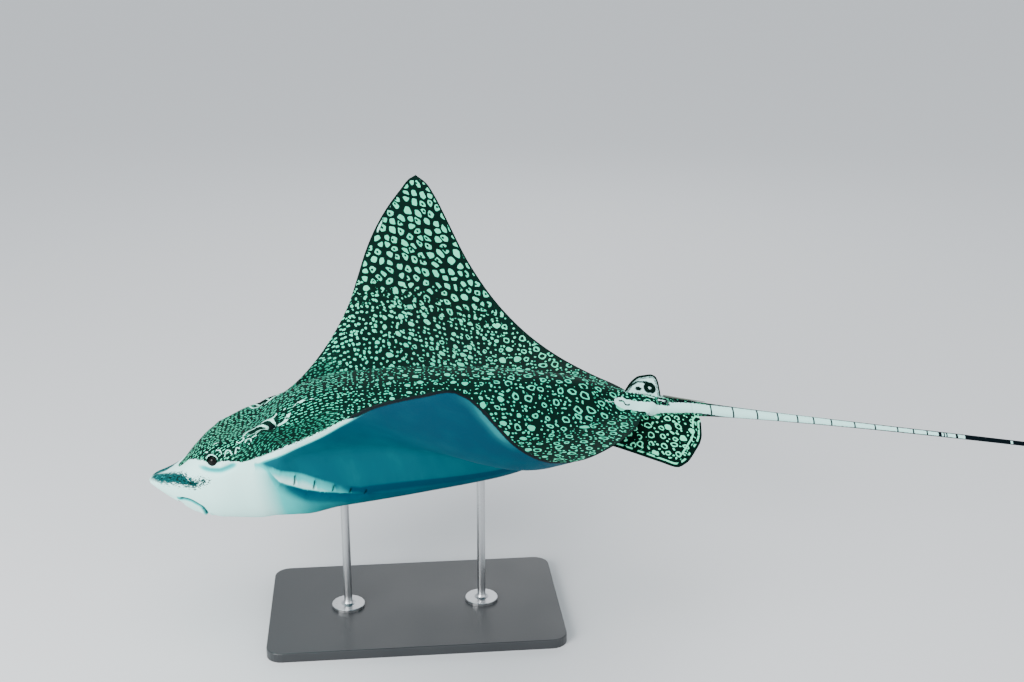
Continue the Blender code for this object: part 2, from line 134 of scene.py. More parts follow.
def raised(x, y, samples=32):     # where the middle layer of the flat disc goes with the wings up
    share = np.linspace(0, 1, samples)
    weight = np.full(samples, 1 / (samples - 1))
    weight[[0, -1]] /= 2
    across, up = np.empty(len(x)), np.empty(len(x))
    for part in np.array_split(np.arange(len(x)), max(1, len(x) // 20000)):
        out = np.abs(y[part])[:, None] * share
        blend = ease(x[part], *ray["riseBlend"])[:, None]
        angle = (1 - blend) * shape["frontRise"](out) + blend * shape["rearRise"](out)
        angle = np.radians(angle) * ease(x[part], *ray["headBlend"])[:, None]
        across[part] = y[part] * (np.cos(angle) @ weight)
        up[part] = np.abs(y[part]) * (np.sin(angle) @ weight)
    return across, up + midline(x)


def thickness(x, y):              # height above and depth below the middle layer
    y = np.abs(y)
    edge = np.maximum(halfWidth(x), 1e-6)
    side = (1 - np.minimum(y / edge, 1) ** 2.3) ** 0.5
    dome = 0.5 * (1 + np.cos(pi * np.minimum(y / shape["bodyHalf"](x), 1) ** 1.25))
    span = np.clip(y, ray["leading"][0][1], ray["tip"][1] - 0.0001)
    nose, tail = leadingX(span), trailingX(span)
    chord = np.clip((x - nose) / (tail - nose), 0, 1)
    blade = shape["wingThick"](y) * 2.6 * chord ** 0.5 * (1 - chord)
    wing = ease(x, 0.115, 0.190) * (1 - ease(x, 0.575, 0.600))
    return [np.maximum((1 - wing) * deep * side + wing * (deep * dome + blade), ray["edgeHalf"])
            for deep in (shape["above"](x), shape["below"](x))]


def skinPoint(x, y, sheet):       # sheet is 1 above, -1 below and 0 along the disc's edge
    x, y, sheet = (np.asarray(value, dtype=float) for value in (x, y, sheet))
    profile = x - ray["noseStart"] * (1 - ease(x, 0.0015, 0.03))
    across, up = raised(profile, y)
    above, below = thickness(profile, y)
    tip = np.sqrt(1 - (1 - np.clip(profile / 0.012, 0, 1)) ** 2)
    high = up + np.where(sheet > 0, sheet * above, sheet * below) * tip
    return np.stack([x - ray["pivotX"], across, high], 1) * discWidth


def tailPoint(x, turn):
    x, turn = np.asarray(x, dtype=float), np.asarray(turn, dtype=float)
    radius = shape["tailRadius"](x)
    wide = radius * (1 + 0.19 * (1 - ease(x, 0.600, 0.640)))
    sweep = ray["sweep"] * np.maximum((x - ray["sweepStart"]) / (2.1 - ray["sweepStart"]), 0) ** 2
    return np.stack([x - ray["pivotX"], sweep + wide * np.cos(turn), midline(x) + radius * np.sin(turn)],
                    1) * discWidth


rayToWorld = Matrix.Translation((0, 0, ray["pivotHeight"])) @ Matrix.Rotation(-ray["noseDown"], 4, "Y")


def deselectAll():
    bpy.ops.object.select_all(action="DESELECT")


def makeActive(*things):
    deselectAll()
    for thing in things:
        thing.select_set(True)
    bpy.context.view_layer.objects.active = things[0]


def places(piece):
    flat = np.empty(len(piece.data.vertices) * 3)
    piece.data.vertices.foreach_get("co", flat)
    return flat.reshape(-1, 3)


def setPlaces(piece, points):
    piece.data.vertices.foreach_set("co", np.asarray(points, dtype=float).ravel())
    piece.data.update()


def normals(piece):
    flat = np.empty(len(piece.data.vertices) * 3)
    piece.data.vertices.foreach_get("normal", flat)
    return flat.reshape(-1, 3)


def store(piece, name, values):   # one number or one vector for each vertex
    values = np.asarray(values, dtype=float)
    kind, field = ("FLOAT_VECTOR", "vector") if values.ndim == 2 else ("FLOAT", "value")
    found = piece.data.attributes.get(name) or piece.data.attributes.new(name, kind, "POINT")
    found.data.foreach_set(field, values.ravel())


def stored(piece, name):
    found = np.empty(len(piece.data.vertices))
    piece.data.attributes[name].data.foreach_get("value", found)
    return found


def addGrid(name, rows, columns):
    deselectAll()
    bpy.ops.mesh.primitive_grid_add(x_subdivisions=rows - 1, y_subdivisions=columns - 1, size=2)
    made = bpy.context.object
    made.name = made.data.name = name
    flat = places(made)
    row = np.rint((flat[:, 0] + 1) / 2 * (rows - 1)).astype(int)
    column = np.rint((flat[:, 1] + 1) / 2 * (columns - 1)).astype(int)
    return made, row, column


def setParameters(piece, along, across, sheet, kind):
    for name, values in (("along", along), ("across", across), ("sheet", sheet),
                         ("kind", np.full(len(along), float(kind)))):
        store(piece, name, values)


def closeHoles(piece):
    bm = bmesh.new()
    bm.from_mesh(piece.data)
    bmesh.ops.holes_fill(bm, edges=[edge for edge in bm.edges if edge.is_boundary])
    bmesh.ops.recalc_face_normals(bm, faces=bm.faces)
    bm.to_mesh(piece.data)
    bm.free()


def weld(piece, reach=0.00002):
    makeActive(piece)
    bpy.ops.object.mode_set(mode="EDIT")
    bpy.ops.mesh.select_all(action="SELECT")
    bpy.ops.mesh.remove_doubles(threshold=reach)
    bpy.ops.mesh.normals_make_consistent(inside=False)
    bpy.ops.object.mode_set(mode="OBJECT")


skinGrid = {"head": 64, "front": 44, "tip": 20, "rear": 42, "inner": 13, "outer": 26,
            "tailRows": 110, "tailSides": 20}


def addDisc():
    grid = skinGrid
    start, neck = ray["noseStart"], 0.138
    x = np.concatenate([
        start + (neck - start) * np.linspace(0, 1, grid["head"]) ** 1.35,
        np.linspace(neck, ray["tip"][0], grid["front"])[1:],
        ray["tip"][0] + (0.42 - ray["tip"][0]) * np.linspace(0, 1, grid["tip"])[1:] ** 1.3,
        np.linspace(0.42, ray["bodyEnd"], grid["rear"])[1:]])
    edge = halfWidth(x - start * (1 - ease(x, start, 0.03)))[:, None]
    inner = np.minimum(0.105, 0.62 * edge)
    near = inner * np.linspace(0, 1, grid["inner"], endpoint=False)
    far = inner + (edge - inner) * np.sin(pi / 2 * np.linspace(0, 1, grid["outer"]))
    half = np.concatenate([near, far], 1)
    top = np.concatenate([-half[:, :0:-1], half], 1)
    ring = np.concatenate([top, top[:, ::-1], top[:, :1]], 1)
    sheet = np.concatenate([np.ones(top.shape[1]), -np.ones(top.shape[1]), [1]])
    disc, row, column = addGrid("skin", *ring.shape)
    setParameters(disc, x[row], ring[row, column], sheet[column], 0)
    setPlaces(disc, skinPoint(x[row], ring[row, column], sheet[column]))
    weld(disc)
    return disc


def refine(piece, wanted):        # halves the faces whose corners are all wanted
    bm = bmesh.new()
    bm.from_mesh(piece.data)
    layers = [bm.verts.layers.float[name] for name in ("along", "across", "sheet")]
    chosen = wanted(*(np.array([vert[layer] for vert in bm.verts]) for layer in layers))
    faces = [face for face in bm.faces if all(chosen[vert.index] for vert in face.verts)]
    edges = {edge for face in faces for edge in face.edges}
    bmesh.ops.subdivide_edges(bm, edges=list(edges), cuts=1, use_grid_fill=True)
    bm.to_mesh(piece.data)
    bm.free()
    return piece


def near(points, reach):          # a rule for refine: close to one of the places on either side
    def wanted(x, y, sheet):
        chosen = np.zeros(len(x), dtype=bool)
        for px, py, *side in points:
            chosen |= (np.hypot(x - px, np.abs(y) - py) < reach) & (sheet * (side or [-1])[0] >= 0)
        return chosen
    return wanted


# Folds and openings of the head, as (behind the snout, from the midline, sheet) on one side
spiracle = [(0.1290, 0.0510, 1), (0.1370, 0.0470, 1), (0.1460, 0.0455, 1), (0.1540, 0.0480, 1),
            (0.1585, 0.0515, 1)]
mouthLine = [(0.0640, 0.0000, -1), (0.0636, 0.0100, -1), (0.0628, 0.0200, -1), (0.0610, 0.0290, -1)]
nasalGroove = [(0.0360, 0.0285, -1), (0.0430, 0.0315, -1), (0.0520, 0.0335, -1), (0.0595, 0.0325, -1),
               (0.0625, 0.0270, -1)]
nostril = [(0.0345, 0.0235, -1), (0.0365, 0.0205, -1)]
gillTops = [(0.1753, 0.0710), (0.1953, 0.0631), (0.2150, 0.0565), (0.2330, 0.0510), (0.2500, 0.0470)]
gillFeet = [(0.1709, 0.0612), (0.1908, 0.0545), (0.2105, 0.0490), (0.2290, 0.0445), (0.2460, 0.0415)]
crease = [(0.1440, 0.0780, -1), (0.1497, 0.0745, -1), (0.1545, 0.0690, -1), (0.1649, 0.0618, -1),
          (0.1797, 0.0542, -1), (0.2069, 0.0473, -1), (0.2400, 0.0410, -1), (0.2800, 0.0370, -1)]
armpit = [(0.1210, 0.0700, -1), (0.1293, 0.0735, -1), (0.1417, 0.0790, -1), (0.1545, 0.0828, -1),
          (0.1725, 0.0740, -1), (0.1957, 0.0642, -1), (0.2200, 0.0565, -1), (0.2450, 0.0500, -1)]
eyeFold = [(0.0629, 0.0335, 1), (0.0721, 0.0449, 1), (0.0817, 0.0537, 1), (0.0921, 0.0603, 1),
           (0.1037, 0.0655, 0), (0.1109, 0.0680, 0), (0.1180, 0.0702, 0)]
eyeSpot = (0.0880, 0.0545, 1)


def addTail():
    grid = skinGrid
    x = 0.604 + (2.1 - 0.604) * np.linspace(0, 1, grid["tailRows"]) ** 1.25
    turn = np.linspace(0, 2 * pi, grid["tailSides"] + 1)
    tail, row, column = addGrid("tail", len(x), len(turn))
    setParameters(tail, x[row], turn[column] % (2 * pi), np.zeros(len(row)), 1)
    setPlaces(tail, tailPoint(x[row], turn[column]))
    weld(tail)
    return tail


def joinTail(disc, tail):         # the tail's first ring is bridged to the body's last
    makeActive(disc, tail)
    bpy.ops.object.join()
    bm = bmesh.new()
    bm.from_mesh(disc.data)
    along = bm.verts.layers.float["along"]
    rim = [edge for edge in bm.edges if edge.is_boundary]
    root = [edge for edge in rim if 0.59 < edge.verts[0][along] < 0.61]
    end = [edge for edge in rim if edge.verts[0][along] > 2]
    bmesh.ops.bridge_loops(bm, edges=root)
    bmesh.ops.holes_fill(bm, edges=end)
    bmesh.ops.holes_fill(bm, edges=[edge for edge in bm.edges if edge.is_boundary])
    bmesh.ops.recalc_face_normals(bm, faces=bm.faces)
    bm.to_mesh(disc.data)
    bm.free()


def softLine(points, side=1, steps=8):
    points = np.array(points, dtype=float)
    at = np.arange(len(points))
    fine = np.linspace(0, len(points) - 1, steps * (len(points) - 1) + 1)
    x, y, sheet = (smoothCurve(list(zip(at, column)))(fine) for column in points.T)
    return skinPoint(x, y * side, sheet)


def foldAcross(points, side=1, steps=10):     # a soft line through places on both sheets
    spots = skinPoint(*np.array([(x, y * side, sheet) for x, y, sheet in points]).T)
    at = np.arange(len(points))
    fine = np.linspace(0, len(points) - 1, steps * (len(points) - 1) + 1)
    return np.stack([smoothCurve(list(zip(at, column)))(fine) for column in spots.T], 1)


def gillSlits(side):
    for top, foot in zip(gillTops, gillFeet):
        yield top[0], softLine([(*top, -1), (*foot, -1)], side)


def lineDistance(points, line):   # distance to a line of points and how far along it the nearest place is
    best, where, nearest = np.full(len(points), 9.0), np.zeros(len(points)), np.zeros_like(points)
    for i, (start, end) in enumerate(zip(line, line[1:])):
        span = end - start
        share = np.clip((points - start) @ span / (span @ span), 0, 1)
        foot = start + share[:, None] * span
        away = np.linalg.norm(points - foot, axis=1)
        closer = away < best
        best = np.where(closer, away, best)
        where = np.where(closer, (i + share) / (len(line) - 1), where)
        nearest[closer] = foot[closer]
    return best, where, nearest


def fadeEnds(where, length=0.15):
    return ease(where, 0, length) * (1 - ease(where, 1 - length, 1))


eye = {
    "place": (0.0878, 0.0462, 0.0290),
    "radius": 0.0076,             # both as fractions of the disc width
    "look": (-0.20, 0.95, 0.22),
    "opening": radians(43),
    "gap": 0.0004,                # metres between ball and lid
    "lid": 0.0016,
}


def eyeFrame(side):
    x, y, z = eye["place"]
    centre = np.array([x - ray["pivotX"], side * y, z]) * discWidth
    look = np.array([eye["look"][0], side * eye["look"][1], eye["look"][2]])
    return centre, look / np.linalg.norm(look), eye["radius"] * discWidth


def hugEye(points, side):         # the skin runs up to the ball, forms a lid and lines a socket behind it
    centre, look, radius = eyeFrame(side)
    hug = radius + eye["gap"]
    rel = points - centre
    out = rel @ look
    flat = rel - out[:, None] * look
    away = np.linalg.norm(flat, axis=1)
    direction = flat / np.maximum(away, 1e-9)[:, None]
    opening = hug * sin(eye["opening"])
    share = away / opening
    lidOut = hug * cos(eye["opening"])
    outer = (share < 2.6) & (out > -radius)
    turn = pi - share * (pi - eye["opening"])
    cup = centre + hug * (np.cos(turn)[:, None] * look + np.sin(turn)[:, None] * direction)
    upper = 0.5 + 0.5 * direction[:, 2]
    lip = eye["lid"] * (0.6 + 0.7 * upper) * bell(share - 1.22, 0.22)
    blend = ease(share, 1.0, 2.5)
    height = (1 - blend) * (lidOut * (1 - 0.25 * blend)) + blend * out + lip
    around = centre + flat + height[:, None] * look
    inside = outer & (share < 1)
    points = points.copy()
    points[inside] = cup[inside]
    ring = outer & (share >= 1)
    points[ring] = around[ring]
    return points, np.where(outer, share, 9.0)


folds = {
    "eyeFold": (0.0065, 0.0048),  # half width and depth, metres
    "crease": (0.0080, 0.0042),
    "armpit": (0.0070, 0.0020),
    "mouth": (0.0030, 0.0085),
    "nasal": (0.0030, 0.0062),
    "gill": (0.0016, 0.0042),
}


def valley(points, facing, line, width, depth, fade=0.15):
    away, where, _ = lineDistance(points, line)
    return points - facing * (depth * bell(away, width) * fadeEnds(where, fade))[:, None]


def shapeHead(skin):
    points = places(skin)
    x, y, sheet = stored(skin, "along"), stored(skin, "across"), stored(skin, "sheet")
    zone = np.flatnonzero((x < 0.33) & (np.abs(y) < 0.15) & (stored(skin, "kind") < 0.5))

    def work(change):
        facing = normals(skin)[zone]
        points[zone] = change(points[zone], facing)
        setPlaces(skin, points)

    zx, zy, zs = x[zone], y[zone], sheet[zone]
    for side in (-1, 1):
        own = (np.sign(zy) == side) | (zy == 0)

        def broad(spots, facing):
            moved = valley(spots, facing, foldAcross(eyeFold, side), *folds["eyeFold"], 0.3)
            moved = valley(moved, facing, softLine(crease, side), *folds["crease"], 0.25)
            moved = valley(moved, facing, softLine(armpit, side), *folds["armpit"], 0.3)
            away, where, _ = lineDistance(spots, softLine(spiracle, side))
            trough = bell(away, 0.0052 + 0.0035 * where) * ease(where, -0.05, 0.3)
            deep = 0.0034 + 0.0135 * ease(where, 0.40, 0.9)
            lip = 0.0016 * bell(away - 0.0125, 0.0050) * ease(where, 0.1, 0.7)
            moved -= facing * (trough * deep - lip)[:, None]
            curtain = (ease(zx, 0.034, 0.050) * (1 - ease(zx, 0.0600, 0.0632)) * (zs < 0)
                       * (1 - ease(np.abs(zy), 0.016, 0.026)))
            chin = bell(zx - 0.077, 0.010) * (zs < 0) * (1 - ease(np.abs(zy), 0.015, 0.040))
            brow = bell(np.hypot(zx - 0.0900, np.abs(zy) - 0.0410), 0.0085) * (zs > 0)
            moved += facing * (0.0030 * curtain + 0.0030 * chin + 0.0030 * brow)[:, None]
            behindLobe = softLine([(0.0325, 0, -1), (0.0335, 0.012, -1), (0.0360, 0.0235, -1)], side)
            moved = valley(moved, facing, behindLobe, 0.0060, 0.0030, 0.0001)
            return np.where(own[:, None], moved, spots)

        def narrow(spots, facing):
            moved = spots
            for top, foot in zip(gillTops, gillFeet):
                middle = ((top[0] + foot[0]) / 2 + 0.0016, (top[1] + foot[1]) / 2)
                line = softLine([(*top, -1), (*middle, -1), (*foot, -1)], side)
                away, where, nearest = lineDistance(spots, line)
                slit = folds["gill"][1] * bell(away, folds["gill"][0])
                ahead = spots[:, 0] < nearest[:, 0]
                flap = 0.0012 * bell(away, 0.0065) * ahead
                moved = moved + facing * ((flap - slit) * fadeEnds(where, 0.2))[:, None]
            away, where, _ = lineDistance(spots, softLine(mouthLine, side))
            lips = 0.0020 * bell(away - 0.0072, 0.0034) * (1 - ease(where, 0.8, 1))
            moved = moved + facing * lips[:, None]
            moved = valley(moved, facing, softLine(mouthLine, side), *folds["mouth"], 0.0001)
            moved = valley(moved, facing, softLine(nasalGroove, side), *folds["nasal"], 0.2)
            moved = valley(moved, facing, softLine(nostril, side), 0.0030, 0.0050, 0.0001)
            return np.where(own[:, None], moved, spots)

        work(broad)
        work(narrow)
    for side in (-1, 1):
        moved, share = hugEye(points, side)
        touched = (share < 2.6) & (stored(skin, "kind") < 0.5) & (x < 0.13)
        points[touched] = moved[touched]
        setPlaces(skin, points)


skin = addDisc()
print("disc", len(skin.data.polygons))
refine(skin, near([*eyeFold, *spiracle, *gillTops, *gillFeet, *mouthLine, *nasalGroove], 0.015))
refine(skin, near([(0.097, 0.055, 1), (0.110, 0.063, 1), (0.127, 0.058, 1)], 0.012))
refine(skin, near([*gillTops, *gillFeet], 0.007))
refine(skin, near([*crease[:6], *armpit[:6], (0.126, 0.072, -1)], 0.007))
refine(skin, lambda x, y, sheet: (x > 0.535) & (np.abs(y) < 0.05) & (sheet > 0))
refine(skin, lambda x, y, sheet: (x > 0.542) & (np.abs(y) < 0.032) & (np.abs(y) > 0.008) & (sheet > 0))
refine(skin, near([eyeSpot, *spiracle[1:], *nasalGroove, *mouthLine], 0.009))
refine(skin, near([eyeSpot], 0.0056))
joinTail(skin, addTail())
isTail = stored(skin, "kind") > 0.5
along, across = stored(skin, "along"), stored(skin, "across")
body = skinPoint(np.minimum(along, 0.6), across * ~isTail, stored(skin, "sheet"))
setPlaces(skin, np.where(isTail[:, None], tailPoint(along, across), body))
print("skin placed", len(skin.data.polygons))
shapeHead(skin)
print("head shaped")

fins = {
    "pelvicOuter": [(0.510, 0.045), (0.532, 0.056), (0.590, 0.083), (0.606, 0.0885), (0.618, 0.082),
                    (0.634, 0.062), (0.646, 0.041), (0.650, 0.022)],
    "pelvicRoot": 0.006,
    "pelvicDroop": radians(33),
    "pelvicLift": -0.003,
    "pelvicHalf": 0.0034,
    "dorsalCrest": [(0.556, -0.002), (0.566, 0.010), (0.576, 0.0215), (0.586, 0.0265), (0.598, 0.0262),
                    (0.605, 0.0225), (0.608, 0.012), (0.609, -0.010)],
    "dorsalHalf": 0.0027,
}
pelvicOuter = smoothCurve(fins["pelvicOuter"])
dorsalCrest = smoothCurve(fins["dorsalCrest"])


def pelvicPoint(x, y, sheet):
    root, droop = fins["pelvicRoot"], fins["pelvicDroop"]
    edge = pelvicOuter(x)
    first, last = fins["pelvicOuter"][0][0], fins["pelvicOuter"][-1][0]
    along = (x - first) / (last - first)
    out = np.minimum(np.abs(y), edge)
    roundOff = np.sqrt(np.maximum(1 - (out / edge) ** 2, 0) * 4 * along * (1 - along))
    half = np.maximum(fins["pelvicHalf"] * roundOff, 0.0005)
    ribs = 0.00022 * np.sin(out * 520 + x * 90) * roundOff
    across = np.sign(y) * (root + (out - root) * cos(droop))
    up = midline(x) + fins["pelvicLift"] - (out - root) * sin(droop)
    return np.stack([x - ray["pivotX"], across, up + sheet * (half + ribs)], 1) * discWidth


def dorsalPoint(x, up, side):
    foot = midline(x) - 0.002
    tall = np.maximum(dorsalCrest(x) - foot, 0.001)
    half = np.maximum(fins["dorsalHalf"] * np.sqrt(np.maximum(1 - up ** 2, 0)), 0.0005)
    return np.stack([x - ray["pivotX"], side * half, foot + tall * up], 1) * discWidth


def addFin(name, outer, pointAt, kind, rows, columns, side=1):
    first, last = outer[0][0], outer[-1][0]
    x = first + (last - first) * (1 - np.cos(pi * np.linspace(0, 1, rows))) / 2
    share = np.sin(pi / 2 * np.linspace(0, 1, columns))
    ring = np.concatenate([share, share[::-1], share[:1]])
    sheet = np.concatenate([np.ones(columns), -np.ones(columns), [1]])
    fin, row, column = addGrid(name, rows, len(ring))
    root = fins["pelvicRoot"]
    across = side * (root + (pelvicOuter(x[row]) - root) * ring[column]) if kind == 2 else ring[column]
    setParameters(fin, x[row], across, sheet[column], kind)
    setPlaces(fin, pointAt(x[row], across, sheet[column]))
    weld(fin)
    closeHoles(fin)
    return fin


flatNames = ("along", "across", "sheet", "kind")


def unite(target, others):        # a true union; the flat places are carried over to the new mesh
    points = np.concatenate([places(piece) for piece in [target] + others])
    carried = [np.concatenate([stored(piece, name) for piece in [target] + others]) for name in flatNames]
    tree = KDTree(len(points))
    for i, point in enumerate(points):
        tree.insert(point, i)
    tree.balance()
    for other in others:
        makeActive(target)
        join = target.modifiers.new("join", "BOOLEAN")
        join.operation, join.solver, join.object = "UNION", "EXACT", other
        bpy.ops.object.modifier_apply(modifier=join.name)
        bpy.data.objects.remove(other)
    bm = bmesh.new()
    bm.from_mesh(target.data)
    bmesh.ops.triangulate(bm, faces=[face for face in bm.faces if len(face.verts) > 4])
    bmesh.ops.dissolve_degenerate(bm, dist=0.00002, edges=bm.edges)
    bmesh.ops.holes_fill(bm, edges=[edge for edge in bm.edges if edge.is_boundary])
    bm.to_mesh(target.data)
    bm.free()
    target.data.validate()
    nearest = np.array([tree.find(point)[1] for point in places(target)])
    for name, values in zip(flatNames, carried):
        store(target, name, values[nearest])


pelvics = [addFin(f"pelvic{side}", fins["pelvicOuter"], pelvicPoint, 2, 50, 28, side) for side in (-1, 1)]
dorsal = addFin("dorsal", fins["dorsalCrest"], dorsalPoint, 3, 34, 18)
unite(skin, pelvics + [dorsal])
print("fins joined", len(skin.data.polygons))
skin.data.transform(rayToWorld)
skin.data.shade_smooth()

# Markings: where each pattern lies, all in flat places so that they follow the skin
headBorder = [(0.0370, 0.0000), (0.0400, 0.0080), (0.0470, 0.0125), (0.0550, 0.0190), (0.0600, 0.0240),
              (0.0685, 0.0360), (0.0780, 0.0460), (0.0877, 0.0553), (0.0940, 0.0589), (0.1020, 0.0637),
              (0.1100, 0.0670), (0.1220, 0.07145), (0.1310, 0.0752), (0.1380, 0.0779), (0.1450, 0.0900)]
# Metres of white under the front margin, against distance from the midline
bandWidth = [(0.070, 0.0075), (0.082, 0.0092), (0.110, 0.0125), (0.150, 0.0115), (0.200, 0.0080),
             (0.260, 0.0052), (0.330, 0.0030), (0.400, -0.0040), (0.500, -0.0100)]
# Painted shade of the gill strip against distance behind the snout, from pale to the wings' teal
gillShade = [(0.130, 0.06), (0.160, 0.11), (0.185, 0.17), (0.205, 0.28), (0.222, 0.46), (0.236, 0.72),
            (0.247, 0.86), (0.340, 0.92)]
snoutPatch = [(0.0100, 0.0040, 1), (0.0230, 0.0150, 1), (0.0400, 0.0290, 1), (0.0580, 0.0420, 0.6),
              (0.0700, 0.0485, -0.4), (0.0840, 0.0560, -1)]
tailBandTop = [(0.5496, 0.0219), (0.5516, 0.0182), (0.5568, 0.0150), (0.5608, 0.0126), (0.5660, 0.0143),
               (0.5792, 0.0128), (0.5904, 0.0148), (0.6040, 0.0136)]
tailBandFoot = [(0.5492, 0.0240), (0.5532, 0.0250), (0.5572, 0.0262), (0.5668, 0.0246), (0.5764, 0.0236),
                (0.5860, 0.0300), (0.6040, 0.0400)]
# Degrees above level on the tail's side, against distance behind the snout
tailSide = {
    "high": [(0.60, 70), (0.61, 55), (0.62, 50), (0.64, 60), (0.66, 66), (0.69, 78), (0.76, 83),
             (1.30, 80)],
    "low": [(0.60, -30), (0.64, -14), (0.66, -18), (0.69, -52), (0.80, -40)],
    "wedge": [(0.60, 41), (0.61, 34), (0.622, 25)],
    "wedgeHalf": [(0.60, 15), (0.61, 11), (0.624, -2), (0.66, -60)],
}
tailWorm = [(0.5560, 0.0190, 1), (0.5600, 0.0180, 1), (0.5640, 0.0200, 1), (0.5680, 0.0190, 1)]
dorsalSpots = [(0.5965, 0.0243, 0.0047, 0.0044), (0.5830, 0.0228, 0.0, 0.0046)]    # x, up, ring, half width
dorsalLines = [[(0.5655, 0.0190), (0.5745, 0.0262), (0.5830, 0.0312), (0.5930, 0.0320)],
               [(0.5620, 0.0120), (0.5750, 0.0085), (0.5900, 0.0100), (0.5960, 0.0160)]]
paleLines = [                     # half width in metres and places on the top of one side
    (0.0017, [(0.1255, 0.050), (0.131, 0.038), (0.139, 0.036), (0.1475, 0.040), (0.152, 0.044)]),
    (0.0012, [(0.1309, 0.0549), (0.140, 0.046), (0.1509, 0.0454)]),
    (0.0011, [(0.1365, 0.0605), (0.145, 0.0545), (0.1521, 0.0494)]),
    (0.0028, [(0.146, 0.030), (0.1525, 0.034), (0.159, 0.040), (0.1605, 0.0435)]),
    (0.0014, [(0.1605, 0.0435), (0.1625, 0.050), (0.1613, 0.0599)]),
    (0.0021, [(0.1615, 0.0380), (0.1645, 0.0325), (0.1680, 0.0249)]),
    (0.0013, [(0.1725, 0.0350), (0.1770, 0.0290)]),
    (0.0029, [(0.1755, 0.0455), (0.1830, 0.0425)]),
    (0.0032, [(0.1857, 0.0330), (0.1990, 0.0320)]),
    (0.0022, [(0.1673, 0.0566), (0.1789, 0.0514)]),
    (0.0026, [(0.2080, 0.0350), (0.2160, 0.0345)]),
    (0.0009, [(0.0935, 0.0490), (0.0975, 0.0530), (0.0990, 0.0575)]),
    (0.0009, [(0.1020, 0.0615), (0.1050, 0.0590), (0.1085, 0.0610), (0.1110, 0.0650)]),
    (0.0010, [(0.0785, 0.0376), (0.0830, 0.0420)]),
    (0.0013, [(0.0910, 0.0367), (0.0960, 0.0395)]),
    (0.0010, [(0.1150, 0.0665), (0.1175, 0.0640), (0.1210, 0.0665)]),
    (0.0009, [(0.118, 0.0575), (0.121, 0.0605), (0.1245, 0.0600), (0.1265, 0.0560), (0.124, 0.0530)]),
    (0.0009, [(0.128, 0.0640), (0.131, 0.0600), (0.1345, 0.0620), (0.135, 0.0660), (0.132, 0.0680)]),
    (0.0009, [(0.140, 0.0660), (0.143, 0.0625), (0.147, 0.0640)]),
    (0.0030, [(0.3330, 0.4560), (0.3240, 0.4320), (0.3200, 0.4180)]),
    (0.0026, [(0.3110, 0.3990), (0.3040, 0.3780), (0.2990, 0.3650)]),
    (0.0011, [(0.528, 0.0222), (0.536, 0.0243), (0.544, 0.0240), (0.550, 0.0225)]),
    (0.0019, [(0.5850, 0.0000), (0.5900, 0.0030), (0.5950, 0.0058), (0.6000, 0.0066)]),
]
pattern = {
    "front": -0.02, "frontPower": 0.385,
    "rear": 0.66, "rearPower": 0.344,
    "scale": 76.0,
    "spanStretch": 1.45,          # how much longer the pattern lies along the wings' span
    "ringCell": 0.0275,           # metres between large marks
    "crowdCell": 0.0182,          # the same where the marks crowd together towards the wing tips
    "finRingCell": 0.0205,
    "finSpotCell": 0.0092,
    "speckCell": 0.0052,
}


def spotPlace(z):                 # angle-keeping map that packs the small marks closer at head and tail
    nodes, weights = np.polynomial.legendre.leggauss(16)

    def rate(t):
        return (pattern["scale"] * (t - pattern["front"]) ** -pattern["frontPower"]
                * (pattern["rear"] - t) ** -pattern["rearPower"])
    steps = 0.3 + (z - 0.3)[:, None] * (nodes + 1) / 2
    return (z - 0.3) * (rate(steps) @ weights) / 2, rate(z)


def nearestTo(points, samples):
    tree = KDTree(len(samples))
    for i, sample in enumerate(samples):
        tree.insert(sample, i)
    tree.balance()
    return np.array([tree.find(point)[2] for point in points])


def flatCurve(points, value):
    return np.interp(value, *zip(*points))


def complexPair(z):
    return np.stack([z.real, z.imag, np.zeros(len(z))], 1)


def alongSurface(x, y, sheet, samples=14):   # from the midline over the rounded body, eased along the span
    share = np.linspace(0, 1, samples)[:, None]
    out = np.abs(y) * share
    high = np.stack([thickness(x, row)[0] for row in out])
    length = np.sum(np.hypot(np.diff(out, axis=0), np.diff(high, axis=0)), 0)
    length = np.where(sheet > 0, length, np.abs(y))
    wide = pattern["spanStretch"]
    return np.sign(y) * (length - (1 - 1 / wide) * (np.maximum(length - 0.12, 0)))
